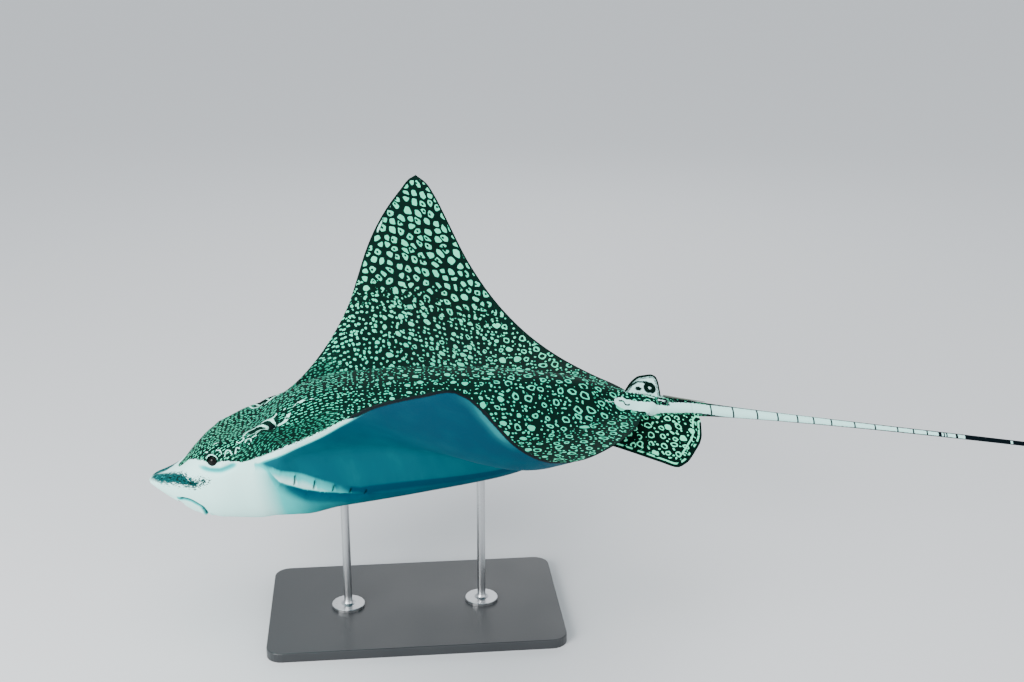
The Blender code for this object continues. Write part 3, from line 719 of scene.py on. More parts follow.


# Under side: painted shade from the white belly to the teal wings, the white band and the painted shade of
# the folds
def paintUnderside(skin, x, out, sheet, disc, base, rim):
    outside = (out - flatCurve([row[:2] for row in armpit], x)) * discWidth
    upper = (out - flatCurve([row[:2] for row in crease], x)) * discWidth
    # painted shade: the belly runs from white to teal towards the rear, and the wings' underside is teal,
    # darker towards the tips
    belly = ease(x, 0.105, 0.205) * 0.72 + ease(x, 0.2, 0.32) * 0.2
    gill = flatCurve(gillShade, x)
    wing = 0.82 + 0.10 * ease(out, 0.09, 0.18) + 0.08 * ease(out, 0.18, 0.36)
    # a painted highlight: a lighter strip along the rear margin of the wings' underside
    rearHighlight = ease(x, 0.36, 0.39) * (1 - ease(rim, 0.012, 0.030)) * ease(out, 0.30, 0.40)
    store(skin, "underShade", np.stack([belly, gill, wing - 0.30 * rearHighlight], 1))
    white = np.where(x < 0.33, flatCurve(bandWidth, out), -0.01)
    store(skin, "sides", np.stack([upper - 0.03 * (1 - ease(x, 0.136, 0.158)),
                                   outside - 0.03 * (1 - ease(x, 0.128, 0.134)), white], 1))
    # painted shade in the fold under the eye, along mouth and nasal groove, and behind each gill slit
    shadeFold = np.zeros(len(x))
    front = np.flatnonzero(disc & (x < 0.30) & (out < 0.12))
    betweenSlits = ease(upper, -0.002, 0.004) * (1 - ease(outside, -0.004, 0.004))
    for side in (-1, 1):
        spots = base[front]
        found, where, _ = lineDistance(spots, foldAcross(eyeFold, side))
        faded = fadeEnds(where, 0.25)
        fold = 0.42 * bell(found, 0.0042) + 0.14 * bell(found, 0.012)
        shadeFold[front] += fold * faded
        found, where, _ = lineDistance(spots, softLine(mouthLine, side))
        found = np.minimum(found, lineDistance(spots, softLine(nasalGroove, side))[0])
        shadeFold[front] += 0.55 * bell(found, 0.0052) * (sheet[front] < 0)
        for slitX, slit in gillSlits(side):
            found = lineDistance(spots, slit)[0]
            behind = (x[front] > slitX) * betweenSlits[front] * (sheet[front] < 0)
            shadeFold[front] += 0.19 * bell(found, 0.0075) * behind
    store(skin, "shadeFold", shadeFold)


# The dark patch on either side of the snout
def paintSnout(skin, x, sheet, disc, base):
    dusk, duskRear = np.full(len(x), 1.0), np.zeros(len(x))
    for side in (-1, 1):
        reach = disc & (x < 0.12)
        found, where, _ = lineDistance(base[reach], foldAcross(snoutPatch, side))
        found = found - 0.0170 * (1 - where ** 1.3) ** 0.95 * ease(where, -0.30, 0.25) - 0.0002
        duskRear[reach] = np.where(found < dusk[reach], where, duskRear[reach])
        dusk[reach] = np.minimum(dusk[reach], found)
    store(skin, "dusk", dusk)
    store(skin, "duskPlace", np.stack([duskRear * 0.1, dusk, 0.01 * sheet], 1))
    store(skin, "duskRear", duskRear)


# Painted shade in the pits of spiracle, slits, mouth, nostril and eyelid
def paintHollows(skin, x, y, out, sheet, disc, base, lines):
    calm, dark = np.zeros(len(x)), np.zeros(len(x))
    for side in (-1, 1):
        reach = disc & (x < 0.30) & (out < 0.12) & (y * side >= 0)
        spots = base[reach]
        found, where, _ = lineDistance(spots, softLine(spiracle, side))
        calm[reach] = (1 - ease(found, 0.015, 0.021)) * ease(where, 0.0, 0.2) * (sheet[reach] > 0)
        pit = (1 - ease(found, 0.0060, 0.0095)) * ease(where, 0.55, 0.80) * (sheet[reach] > 0)
        for _, slit in gillSlits(side):
            found, where, _ = lineDistance(spots, slit)
            pit = np.maximum(pit, (1 - ease(found, 0.0006, 0.0022)) * fadeEnds(where, 0.1))
        mouth = lineDistance(spots, softLine(mouthLine, side))[0]
        pit = np.maximum(pit, 0.85 * (1 - ease(mouth, 0.0012, 0.0044)))
        found, where, _ = lineDistance(spots, softLine(nasalGroove, side))
        pit = np.maximum(pit, 0.85 * (1 - ease(found, 0.0010, 0.0042)) * fadeEnds(where, 0.1))
        hole = lineDistance(spots, softLine(nostril, side))[0]
        pit = np.maximum(pit, 1 - ease(hole, 0.0020, 0.0040))
        dark[reach] = np.maximum(dark[reach], pit)
        centre, look, radius = eyeFrame(side)
        rel = base - centre
        flatRel = rel - (rel @ look)[:, None] * look
        share = np.linalg.norm(flatRel, axis=1) / (radius * sin(eye["opening"]))
        nearEye = disc & (np.linalg.norm(rel, axis=1) < 0.03) & (rel @ look > -0.5 * radius)
        dark = np.where(nearEye, np.maximum(dark, 1 - ease(share, 1.03, 1.12)), dark)
        upward = flatRel[:, 2] / np.maximum(np.linalg.norm(flatRel, axis=1), 1e-9)
        crescent = np.abs(share - 1.36) * radius - 0.0011 * ease(upward, 0.1, 0.6)
        lines = np.where(nearEye, np.minimum(lines, crescent), lines)
    store(skin, "lines", lines)
    store(skin, "calm", calm)
    store(skin, "pitShade", dark)


# How large and crowded the marks are, and how bright under painted light
def paintMarkSizes(skin, x, out, disc, pelvic):
    tipward = ease(out, 0.26, 0.44)
    rearward = ease(x, 0.38, 0.50) * (1 - ease(out, 0.2, 0.36))
    frontEdge = (1 - ease(x - leadingX(np.clip(out, 0.078, 0.499)), 0.02, 0.07)) * (out > 0.08)
    frontEdge = frontEdge * (1 - tipward)
    ringSize = 0.165 + 0.10 * tipward + 0.070 * rearward
    ringSize = ringSize * ease(x, 0.19, 0.32) * (1 - 0.35 * frontEdge)
    store(skin, "crowd", np.where(disc, ease(out, 0.17, 0.38) * (1 - 0.8 * rearward), 0.0))
    ringShare = 0.18 + 0.50 * tipward + 0.74 * rearward - 0.4 * frontEdge
    headward = 1 - ease(x, 0.15, 0.32) * ease(out, 0.03, 0.12)
    smallSize = 0.225 - 0.035 * rearward + 0.025 * tipward - 0.078 * headward * (x < 0.40)
    smallSize = np.where(pelvic, 0.21, smallSize)
    ringSize = np.where(pelvic, 0.255, ringSize)
    ringShare = np.where(pelvic, 0.72, ringShare)
    store(skin, "markSizes", np.stack([ringSize, ringShare, smallSize], 1))
    store(skin, "specks", (ease(x, 0.10, 0.135) * (1 - ease(x, 0.20, 0.25)) * ease(out, 0.058, 0.066)
                           * (1 - ease(out, 0.12, 0.15))))
    # painted light: the marks are dimmer near the middle of the back, where less light falls, and brighter
    # towards the tips, the snout and the rear
    light = (0.25 + 0.75 * ease(out, 0.06, 0.26) + 0.5 * (1 - ease(x, 0.09, 0.16))
             + 0.15 * ease(x, 0.38, 0.5))
    store(skin, "light", np.where(disc, np.clip(light, 0, 1), 1.0))


# The pale band from the rear of the disc along the tail
def paintTailBand(skin, x, y, out, sheet, disc, tail, base):
    bandTop = (out - flatCurve(tailBandTop, x)) * discWidth
    bandFoot = (flatCurve(tailBandFoot, x) - out) * discWidth
    side = np.minimum(bandTop, bandFoot)
    side = np.where(x < 0.5496, -0.01, side)
    worm = np.concatenate([softLine(tailWorm, way) for way in (-1, 1)])
    side = np.where(disc & (x > 0.54), np.minimum(side, nearestTo(base, worm) - 0.0014), side)
    side = np.where(sheet > 0, side, np.minimum(side, 0.001))
    lift = np.degrees(np.arcsin(np.clip(np.sin(y), -1, 1)))
    radius = shape["tailRadius"](x) * discWidth
    high, low, middle, half = (flatCurve(points, x) for points in tailSide.values())
    wedge = np.abs(lift - middle) - half
    around = np.radians(np.minimum(np.minimum(high - lift, lift - low), wedge)) * radius
    store(skin, "tailBand", np.where(tail, around, np.where(disc, side, -0.01)))


# Dark ring, spot and lines of the dorsal fin
def paintDorsal(skin, x, finUp, finPoint, fin):
    blotches = np.full(len(x), 1.0)
    for centreX, centreUp, size, half in dorsalSpots:
        reach = np.hypot((x - centreX) * (1 if size else 0.75), finUp - centreUp)
        blotches = np.minimum(blotches, np.abs(reach - size) * discWidth - half)
    for line in dorsalLines:
        found = lineDistance(finPoint[:, [0, 2]] / discWidth, np.array(line))[0] * discWidth
        blotches = np.minimum(blotches, found - 0.0019)
    store(skin, "blotches", np.where(fin, blotches, 1.0))


def paintPlaces(skin):
    x, y, sheet, kind = (stored(skin, name) for name in flatNames)
    kind = np.rint(kind)
    disc, tail, pelvic, fin = (kind == value for value in range(4))
    surface = alongSurface(np.clip(x, 0.0005, 0.5995), np.where(disc, y, 0), sheet)
    flat = np.clip(x, 0, 0.655) + 1j * np.where(disc, surface, np.where(pelvic, y, 0))
    small, rate = spotPlace(flat)
    large = flat * discWidth / pattern["ringCell"]
    turn = discWidth / pattern["ringCell"] / rate
    finSmall = (flat + 0.7) * discWidth / pattern["finSpotCell"]
    finLarge = (flat + 0.7) * discWidth / pattern["finRingCell"]
    small = np.where(pelvic, finSmall, small)
    large = np.where(pelvic, finLarge, large)
    turn = np.where(pelvic, pattern["finSpotCell"] / pattern["finRingCell"], turn)
    store(skin, "smallPlace", complexPair(small))
    store(skin, "largePlace", complexPair(large))
    speck = flat * discWidth / pattern["speckCell"]
    store(skin, "speckPlace", complexPair(speck.real * 0.55 + 1j * speck.imag))
    store(skin, "turnPlace", complexPair(turn))
    store(skin, "crowdPlace", complexPair(flat * discWidth / pattern["crowdCell"]))
    store(skin, "flatPlace", np.stack([x, np.where(tail, np.cos(y) * 0.01, y),
                                       np.where(tail, np.sin(y) * 0.01, sheet * 0.3)], 1) * discWidth)
    out = np.abs(y)
    base = skinPoint(np.clip(x, 0, 0.6), np.where(disc, y, 0), sheet)
    edgeY = np.linspace(0.078, 0.5, 700)
    rearY = np.linspace(0.5, 0.0155, 800)
    lead = [skinPoint(leadingX(edgeY), edgeY * side, 0 * edgeY) for side in (-1, 1)]
    rear = [skinPoint(trailingX(rearY), rearY * side, 0 * rearY) for side in (-1, 1)]
    top = disc & (sheet > 0)
    rim = nearestTo(base, np.concatenate(lead + rear))
    fadeIn = np.maximum(1 - ease(out, 0.20, 0.28), 1 - ease(x, 0.15, 0.2)) * (x < 0.33)
    rim = rim + 0.013 * fadeIn + 0.05 * (x < 0.138)
    rim = np.where(disc, rim + 0.01 * ease(x, 0.57, 0.59), 1.0)
    pelvicEdge = np.concatenate([pelvicPoint(np.linspace(0.51, 0.65, 500), np.full(500, side * 0.2),
                                             np.zeros(500)) for side in (-1, 1)])
    own = pelvicPoint(np.clip(x, 0.5101, 0.6499), np.where(pelvic, y, 0.05), 0 * x)
    rim = np.where(pelvic, nearestTo(own, pelvicEdge), rim)
    finTall = np.maximum(dorsalCrest(np.clip(x, 0.556, 0.609)) - midline(x) + 0.002, 0.001)
    finUp = finTall * out
    finPoint = np.stack([x, 0 * x, finUp], 1) * discWidth
    crestX = np.linspace(0.556, 0.609, 400)
    crest = np.stack([crestX, 0 * crestX, dorsalCrest(crestX) - midline(crestX) + 0.002], 1) * discWidth
    rim = np.where(fin, nearestTo(finPoint, crest), rim)
    store(skin, "rim", rim)
    borderX, borderY = np.array(headBorder).T
    away = nearestTo(base, np.concatenate(lead + rear))
    for line in (skinPoint(borderX, borderY * side, 1 + 0 * borderX) for side in (-1, 1)):
        away = np.minimum(away, lineDistance(base, line)[0])
    inside = top & (x > 0.037) & (out < np.where(x < 0.145, flatCurve(headBorder, x), 1))
    border = np.where(inside, away, -away) + 0.05 * ease(x, 0.560, 0.585)
    store(skin, "border", np.where(disc, border, 1.0))
    paintUnderside(skin, x, out, sheet, disc, base, rim)
    lines = np.full(len(x), 1.0)
    for half, line in paleLines:
        for side in (-1, 1):
            reach = disc & (sheet > 0) & (y * side > 0)
            reach &= (np.abs(x - line[0][0]) < 0.05)
            found = lineDistance(base[reach], softLine([(*place, 1) for place in line], side))[0] - half
            lines[reach] = np.minimum(lines[reach], found)
    paintSnout(skin, x, sheet, disc, base)
    paintHollows(skin, x, y, out, sheet, disc, base, lines)
    paintMarkSizes(skin, x, out, disc, pelvic)
    paintTailBand(skin, x, y, out, sheet, disc, tail, base)
    paintDorsal(skin, x, finUp, finPoint, fin)
    store(skin, "isTail", np.where(tail, 1.0, 0.0))
    store(skin, "isPelvic", np.where(pelvic, 1.0, 0.0))
    store(skin, "isDorsal", np.where(fin, 1.0, 0.0))


def layBakeMap(skin):             # top of the disc at full size, the underside at half, tail in four strips
    x, y, sheet, kind = (stored(skin, name) for name in flatNames)
    kind = np.rint(kind).astype(int)
    mesh = skin.data
    loopVert = np.empty(len(mesh.loops), dtype=int)
    mesh.loops.foreach_get("vertex_index", loopVert)
    total = np.empty(len(mesh.polygons), dtype=int)
    mesh.polygons.foreach_get("loop_total", total)
    faceOf = np.repeat(np.arange(len(total)), total)
    counts = np.stack([np.bincount(faceOf, weights=kind[loopVert] == value) for value in range(4)], 1)
    faceKind = np.argmax(counts, 1)[faceOf]
    faceTop = (np.bincount(faceOf, weights=sheet[loopVert]) / total > 0)[faceOf]
    lx, ly = x[loopVert], y[loopVert]
    isTail = kind[loopVert] == 1
    across = np.where(isTail, np.cos(ly) * shape["tailRadius"](lx), ly)
    turn = np.where(isTail, ly, np.arctan2(sheet[loopVert] * 0.2, ly) % (2 * pi))
    low = np.full(len(total), 9.0)
    high = np.zeros(len(total))
    np.minimum.at(low, faceOf, turn)
    np.maximum.at(high, faceOf, turn)
    turn = np.where(((high - low) > pi)[faceOf] & (turn < pi), turn + 2 * pi, turn)
    strip = np.clip(((np.bincount(faceOf, weights=lx) / total - 0.60) / 0.375).astype(int), 0, 3)[faceOf]
    side = (np.bincount(faceOf, weights=ly) / total > 0)[faceOf]
    finUp = np.maximum(dorsalCrest(np.clip(lx, 0.556, 0.609)) - midline(lx) + 0.002, 0.001) * np.abs(ly)
    top = np.stack([across + 0.5, 1 - lx], 1)
    under = np.stack([0.5 * across + 0.25, 0.395 - 0.5 * lx], 1)
    tail = np.stack([0.515 + (lx - 0.60 - strip * 0.375) * 1.2,
                     0.345 - strip * 0.055 + turn / 2 / pi * 0.045], 1)
    pelvic = np.stack([lx - 0.505 + 0.16 * (2 * side + faceTop), np.abs(across)], 1)
    dorsal = np.stack([lx - 0.556 + 0.68 + 0.07 * faceTop, finUp + 0.005], 1)
    rules = [(faceKind == 0) & faceTop, faceKind == 0, faceKind == 1, faceKind == 2]
    flat = np.select([rule[:, None] for rule in rules], [top, under, tail, pelvic], dorsal)
    bakeMap = mesh.uv_layers.new(name="OFBake")
    bakeMap.uv.foreach_set("vector", np.clip(flat, 0, 1).ravel())


paintPlaces(skin)
layBakeMap(skin)
skin.data.calc_loop_triangles()
print("painting places stored on", len(skin.data.loop_triangles), "triangles")


class Wires:                      # short ways to add and join shader nodes
    def __init__(self, tree):
        self.tree = tree

    def add(self, kind, inputs=(), **settings):
        node = self.tree.nodes.new("ShaderNode" + kind)
        for name, value in settings.items():
            setattr(node, name, value)
        for name, value in dict(inputs).items():
            self.join(value, node.inputs[name])
        return node

    def join(self, value, socket):
        if isinstance(value, bpy.types.NodeSocket):
            self.tree.links.new(value, socket)
        else:
            socket.default_value = value

    def maths(self, operation, *values):
        node = self.add("Math", enumerate(values), operation=operation)
        return node.outputs[0]

    def plus(self, first, second):
        return self.maths("ADD", first, second)

    def minus(self, first, second):
        return self.maths("SUBTRACT", first, second)

    def scaled(self, value, factor, added):
        return self.maths("MULTIPLY_ADD", value, factor, added)

    def vector(self, operation, *values, scale=None):
        node = self.add("VectorMath", enumerate(values), operation=operation)
        if scale is not None:
            self.join(scale, node.inputs["Scale"])
        return node.outputs["Value" if operation in ("LENGTH", "DOT_PRODUCT") else "Vector"]

    def step(self, value, low, high):
        return self.add("MapRange", {"Value": value, "From Min": low, "From Max": high},
                        interpolation_type="SMOOTHSTEP").outputs["Result"]

    def mix(self, factor, first, second):
        node = self.add("Mix", {0: factor, 6: first, 7: second}, data_type="RGBA")
        return node.outputs[2]

    def number(self, name):
        return self.add("Attribute", attribute_name=name).outputs["Fac"]

    def place(self, name):
        return self.add("Attribute", attribute_name=name).outputs["Vector"]

    def noise(self, place, scale, detail=2.0, stretch=None):
        if stretch is not None:
            place = self.vector("MULTIPLY", place, stretch)
        return self.add("TexNoise", {"Vector": place, "Scale": scale, "Detail": detail})

    def cloud(self, place, scale, detail=2.0, stretch=None):
        return self.noise(place, scale, detail, stretch).outputs["Fac"]

    def relief(self, shader, height, strength, distance):
        bump = self.add("Bump", {"Height": height, "Strength": strength, "Distance": distance})
        self.join(bump.outputs[0], shader.inputs["Normal"])

    def cells(self, place, randomness):
        node = self.add("TexVoronoi", {"Vector": place, "Scale": 1.0, "Randomness": randomness},
                        voronoi_dimensions="2D")
        colour = self.add("SeparateColor", {"Color": node.outputs["Color"]})
        return node.outputs["Distance"], node.outputs["Position"], colour.outputs

    def apart(self, vector):
        return self.add("SeparateXYZ", {0: vector}).outputs

    def together(self, x, y, z=0.0):
        return self.add("CombineXYZ", {0: x, 1: y, 2: z}).outputs[0]

    def most(self, *values):
        result = values[0]
        for value in values[1:]:
            result = self.maths("MAXIMUM", result, value)
        return result

    def product(self, *values):
        result = values[0]
        for value in values[1:]:
            result = self.maths("MULTIPLY", result, value)
        return result

    def blend(self, factor, first, second):
        return self.add("Mix", {0: factor, 2: first, 3: second}, data_type="FLOAT").outputs[0]

    def without(self, value):
        return self.minus(1.0, value)


def newGroup(name, inputs, outputs):
    tree = bpy.data.node_groups.new(name, "ShaderNodeTree")
    for way, sockets in (("INPUT", inputs), ("OUTPUT", outputs)):
        for label, kind in sockets.items():
            tree.interface.new_socket(label, in_out=way, socket_type="NodeSocket" + kind)
    wires = Wires(tree)
    start, end = tree.nodes.new("NodeGroupInput"), tree.nodes.new("NodeGroupOutput")
    return tree, wires, start.outputs, end.inputs


def spotsGroup():                 # rings and blobs, with dots and dashes in the room between them
    tree, w, given, put = newGroup("spots", {
        "Small Place": "Vector", "Large Place": "Vector", "Turn": "Vector", "Large Size": "Float",
        "Ring Share": "Float", "Small Size": "Float", "Ring Line": "Float"},
        {"Mask": "Float", "Tone": "Float"})
    ripple = w.noise(given["Large Place"], 2.6, 1.0).outputs["Color"]
    ripple = w.vector("SUBTRACT", ripple, (0.5, 0.5, 0.5))
    large = w.vector("ADD", given["Large Place"], w.vector("SCALE", ripple, scale=0.26))
    _, centre, chance = w.cells(large, 0.52)

    def size(colour):
        return w.product(given["Large Size"], w.scaled(colour[2], 0.42, 0.79))
    radius = size(chance)
    rel = w.vector("SUBTRACT", large, centre)
    turned = w.add("VectorRotate", {"Vector": rel, "Angle": w.product(chance[0], 6.283)},
                   rotation_type="Z_AXIS").outputs[0]
    across = w.apart(turned)
    stretch = w.scaled(w.product(chance[1], chance[1]), 0.40, 1.0)
    squashed = w.maths("DIVIDE", across[0], stretch)
    reach = w.vector("LENGTH", w.together(squashed, across[1]))
    blob = w.step(w.minus(radius, reach), -0.012, 0.012)
    dice = w.maths("FRACT", w.scaled(chance[0], 7.31, w.product(chance[1], 3.7)))
    isRing = w.maths("LESS_THAN", dice, given["Ring Share"])
    inner = w.minus(radius, w.product(given["Large Size"], given["Ring Line"]))
    hole = w.step(w.minus(inner, reach), -0.012, 0.012)
    openSide = w.product(w.maths("LESS_THAN", w.maths("FRACT", w.product(dice, 9.7)), 0.18),
                      w.maths("GREATER_THAN", squashed, w.product(radius, 0.55)))
    big = w.product(blob, w.without(w.product(isRing, w.most(hole, openSide))))
    rippleSmall = w.noise(given["Small Place"], 1.7, 1.0).outputs["Color"]
    rippleSmall = w.vector("SUBTRACT", rippleSmall, (0.5, 0.5, 0.5))
    small = w.vector("ADD", given["Small Place"], w.vector("SCALE", rippleSmall, scale=0.34))
    _, seed, luck = w.cells(small, 0.66)
    relSmall = w.vector("SUBTRACT", small, seed)
    mingled = w.step(given["Large Size"], 0.02, 0.14)     # on the head the dashes all lie along the body
    turnedSmall = w.apart(w.add("VectorRotate", {"Vector": relSmall,
                                                 "Angle": w.product(luck[0], mingled, 6.283)},
                                rotation_type="Z_AXIS").outputs[0])
    dash = w.scaled(luck[1], 0.70, -0.42)
    dash = w.most(w.product(dash, mingled), w.product(w.without(mingled), 0.17))
    slid = w.most(w.minus(w.maths("ABSOLUTE", turnedSmall[0]), dash), 0.0)
    reachSmall = w.vector("LENGTH", w.together(slid, turnedSmall[1]))
    radiusSmall = w.product(given["Small Size"], w.scaled(luck[2], 0.5, 0.66))
    dot = w.step(w.minus(radiusSmall, reachSmall), -0.03, 0.03)
    turn, shift = w.apart(given["Turn"]), w.apart(relSmall)
    backX = w.minus(w.product(turn[0], shift[0]), w.product(turn[1], shift[1]))
    backY = w.plus(w.product(turn[1], shift[0]), w.product(turn[0], shift[1]))
    seedLarge = w.vector("SUBTRACT", large, w.together(backX, backY))
    awayLarge, _, chanceLarge = w.cells(seedLarge, 0.52)
    room = w.plus(w.product(size(chanceLarge), 1.15), w.product(given["Large Size"], 0.70))
    keep = w.maths("GREATER_THAN", awayLarge, room)
    w.join(w.most(big, w.product(dot, keep)), put["Mask"])
    w.join(w.scaled(luck[2], 0.5, w.product(chance[2], 0.5)), put["Tone"])
    return tree


def newMaterial(name):
    material = bpy.data.materials.new(name)
    material.use_nodes = True
    return material, Wires(material.node_tree), material.node_tree.nodes["Principled BSDF"]


skinPaint = {
    "ground": (0.0003, 0.0085, 0.0055, 1),
    "groundPale": (0.0010, 0.0170, 0.0120, 1),
    "mark": (0.150, 1.000, 0.580, 1),
    "markDimAndShaded": (0.030, 0.600, 0.380, 1),
    "line": (0.460, 1.000, 0.830, 1),
    "white": (0.590, 1.000, 0.930, 1),
    "aqua": (0.045, 0.560, 0.540, 1),
    # teal and deep teal stand for painted shade on the underside
    "teal": (0.0015, 0.098, 0.128, 1),
    "deepTeal": (0.0010, 0.046, 0.082, 1),
    "black": (0.0008, 0.0040, 0.0060, 1),
    "dusk": (0.0020, 0.0700, 0.0720, 1),
    "roughness": (0.50, 0.68),
    "specular": 0.03,
}


def skinMaterial():
    paint = skinPaint
    material, w, shader = newMaterial("raySkin")
    flat = w.place("flatPlace")
    sizes = w.apart(w.place("markSizes"))
    spots = w.add("Group", node_tree=spotsGroup())
    for name, value in (("Small Place", w.place("smallPlace")), ("Large Place", w.place("largePlace")),
                        ("Turn", w.place("turnPlace")), ("Large Size", sizes[0]),
                        ("Ring Share", sizes[1]), ("Small Size", sizes[2]), ("Ring Line", 0.42)):
        w.join(value, spots.inputs[name])
    mask, tone = spots.outputs["Mask"], spots.outputs["Tone"]
    rim, lines = w.number("rim"), w.number("lines")
    ragged = w.minus(w.cloud(flat, 260.0, 2.0), 0.5)
    broad = w.cloud(flat, 9.0, 3.0)

    # towards the tips every cell is filled by a mark, some with a hole
    crowdNoise = w.noise(w.place("crowdPlace"), 1.4, 1.0).outputs
    sway = w.vector("SCALE", w.vector("SUBTRACT", crowdNoise["Color"], (0.5, 0.5, 0.5)), scale=0.30)
    crowdPlace = w.vector("ADD", w.place("crowdPlace"), sway)
    crowdAway, _, crowdChance = w.cells(crowdPlace, 0.78)
    crowdEdge = w.add("TexVoronoi", {"Vector": crowdPlace, "Scale": 1.0, "Randomness": 0.78},
                      voronoi_dimensions="2D", feature="DISTANCE_TO_EDGE").outputs["Distance"]
    corner = w.product(w.most(w.minus(crowdAway, 0.27), 0.0), 0.70)
    room = w.scaled(crowdChance[2], 0.08, 0.085)
    room = w.scaled(w.without(w.number("crowd")), 0.130, room)
    crowdMark = w.step(w.minus(w.minus(crowdEdge, corner), room), -0.012, 0.022)
    crowdHole = w.product(w.step(crowdAway, 0.160, 0.120), w.maths("LESS_THAN", crowdChance[0], 0.50))
    crowdShare = w.scaled(w.minus(crowdNoise["Fac"], 0.5), 1.2, w.number("crowd"))
    mask = w.blend(w.step(crowdShare, 0.26, 0.30), mask, w.product(crowdMark, w.without(crowdHole)))

    # upper side: specks on the shoulder, the spots, a thin black margin and the pale lines
    speckAway, _, _ = w.cells(w.place("speckPlace"), 0.9)
    speck = w.step(speckAway, 0.27, 0.18)
    specks = w.number("specks")
    upperMask = w.plus(w.product(mask, w.without(specks)), w.product(speck, specks, 0.42))
    linesMask = w.step(w.scaled(ragged, 0.003, lines), 0.0005, -0.0004)
    clear = w.product(w.step(lines, 0.0008, 0.0024), w.without(w.number("calm")))
    upperMask = w.most(w.product(upperMask, clear), linesMask)
    rimNoise = w.scaled(ragged, 0.004, rim)
    rimMask = w.step(rimNoise, 0.0056, 0.0044)
    upperMask = w.product(upperMask, w.without(rimMask))
    ground = w.mix(broad, paint["ground"], paint["groundPale"])
    # the marks' tone varies at random, and under the painted light they dim where less light falls
    mark = w.mix(w.product(w.scaled(tone, 0.5, w.scaled(broad, 0.3, 0.25)),
                           w.number("light")), paint["markDimAndShaded"], paint["mark"])
    upper = w.mix(upperMask, ground, mark)
    upper = w.mix(w.product(linesMask, w.without(rimMask)), upper, paint["line"])

    # under side: white head and belly running to teal in painted shade, with the black margin
    underShade, sides = w.apart(w.place("underShade")), w.apart(w.place("sides"))
    border = w.number("border")
    shade = w.blend(w.step(sides[0], -0.0020, 0.0030), underShade[0], underShade[1])
    # painted shade along the crease below the gill strip, fading down onto the belly
    creaseShade = w.product(w.step(sides[0], -0.0240, 0.0000), w.step(sides[0], 0.0040, 0.0000),
                            w.step(underShade[0], 0.98, 0.50), w.step(underShade[0], 0.12, 0.55))
    shade = w.scaled(creaseShade, 0.40, shade)
    # painted shade: the gill strip darkens towards its upper edge at the armpit line
    shade = w.scaled(w.product(w.step(sides[1], -0.0190, 0.0000), w.step(sides[0], 0.0, 0.004)),
                    0.27, shade)
    shade = w.blend(w.step(sides[1], -0.0030, 0.0050), shade, underShade[2])
    shade = w.product(shade, w.step(w.plus(border, sides[2]), 0.0035, -0.0060))
    shade = w.plus(shade, w.number("shadeFold"))
    streak = w.cloud(flat, 1.0, 4.0, (30, 12, 12))
    shade = w.plus(shade, w.product(w.minus(streak, 0.5), 0.17, w.step(shade, 0.02, 0.45)))
    # the ramp gives the painted shade its colour: white, aqua, then teal and deep teal for the shaded
    # underside
    ramp = w.add("ValToRGB", {"Fac": shade})
    stops = ramp.color_ramp.elements
    stops[0].color, stops[1].color = paint["white"], paint["deepTeal"]
    for place, colour in ((0.10, "white"), (0.36, "aqua"), (0.80, "teal")):
        stops.new(place).color = paint[colour]
    under = w.mix(w.step(rimNoise, 0.0078, 0.0060), ramp.outputs["Color"], paint["black"])
    speckled = w.minus(w.cloud(flat, 1.0, 3.0, (190, 330, 330)), 0.5)
    streaked = w.cloud(w.place("duskPlace"), 1.0, 2.0, (260, 420, 100))
    streaked = w.minus(streaked, 0.5)
    duskRear = w.number("duskRear")
    frayed = w.scaled(w.product(duskRear, w.step(duskRear, 1.0, 0.8)), 0.060, 0.006)
    dusk = w.plus(w.number("dusk"), w.product(streaked, frayed))
    soft = w.scaled(duskRear, -0.0040, 0.0045)
    duskMask = w.step(dusk, soft, w.product(soft, -1.3))
    duskDark = w.scaled(streaked, 3.2, duskRear)
    duskColour = w.mix(w.step(duskDark, 0.1, 0.9), paint["dusk"], paint["ground"])
    duskColour = w.mix(w.step(duskDark, -0.1, -0.7), duskColour, paint["aqua"])
    under = w.mix(duskMask, under, duskColour)
    scallops = w.minus(w.cloud(flat, 95.0, 1.0), 0.5)
    border = w.plus(border, w.scaled(speckled, 0.006, w.product(scallops, 0.009)))
    colour = w.mix(w.step(border, -0.0006, 0.0006), under, upper)

    # tail: white sides broken by thin dark rings, then black with white dashes
    along = w.apart(flat)[0]
    cross = w.add("TexVoronoi", {"W": along, "Scale": 26.0, "Randomness": 0.9}, voronoi_dimensions="1D",
                  feature="DISTANCE_TO_EDGE").outputs["Distance"]
    crossMask = w.product(w.step(cross, 0.05, 0.03), w.step(along, 1.02, 1.06), w.number("isTail"))
    dashes = w.cloud(w.together(along, 0.0), 42.0, 2.0)
    limit = w.scaled(w.step(along, 1.20, 1.72), 0.55, 0.10)
    dashMask = w.maths("GREATER_THAN", dashes, limit)
    jagged = w.minus(w.cloud(flat, 1.0, 2.0, (130, 240, 240)), 0.5)
    jagged = w.product(jagged, w.step(along, 1.12, 1.02), 0.007)
    band = w.plus(w.number("tailBand"), w.scaled(ragged, 0.003, jagged))
    band = w.minus(band, w.product(w.step(along, 1.15, 1.5), 0.0015))
    bandMask = w.product(w.step(band, -0.0004, 0.0006), w.without(crossMask), dashMask)
    fleck = w.step(w.cloud(flat, 1.0, 2.0, (150, 500, 500)), 0.60, 0.64)
    fleck = w.product(fleck, w.step(along, 1.08, 1.04))
    tailGround = w.mix(w.number("isTail"), colour, w.mix(fleck, paint["black"], paint["mark"]))
    colour = w.mix(bandMask, tailGround, paint["white"])

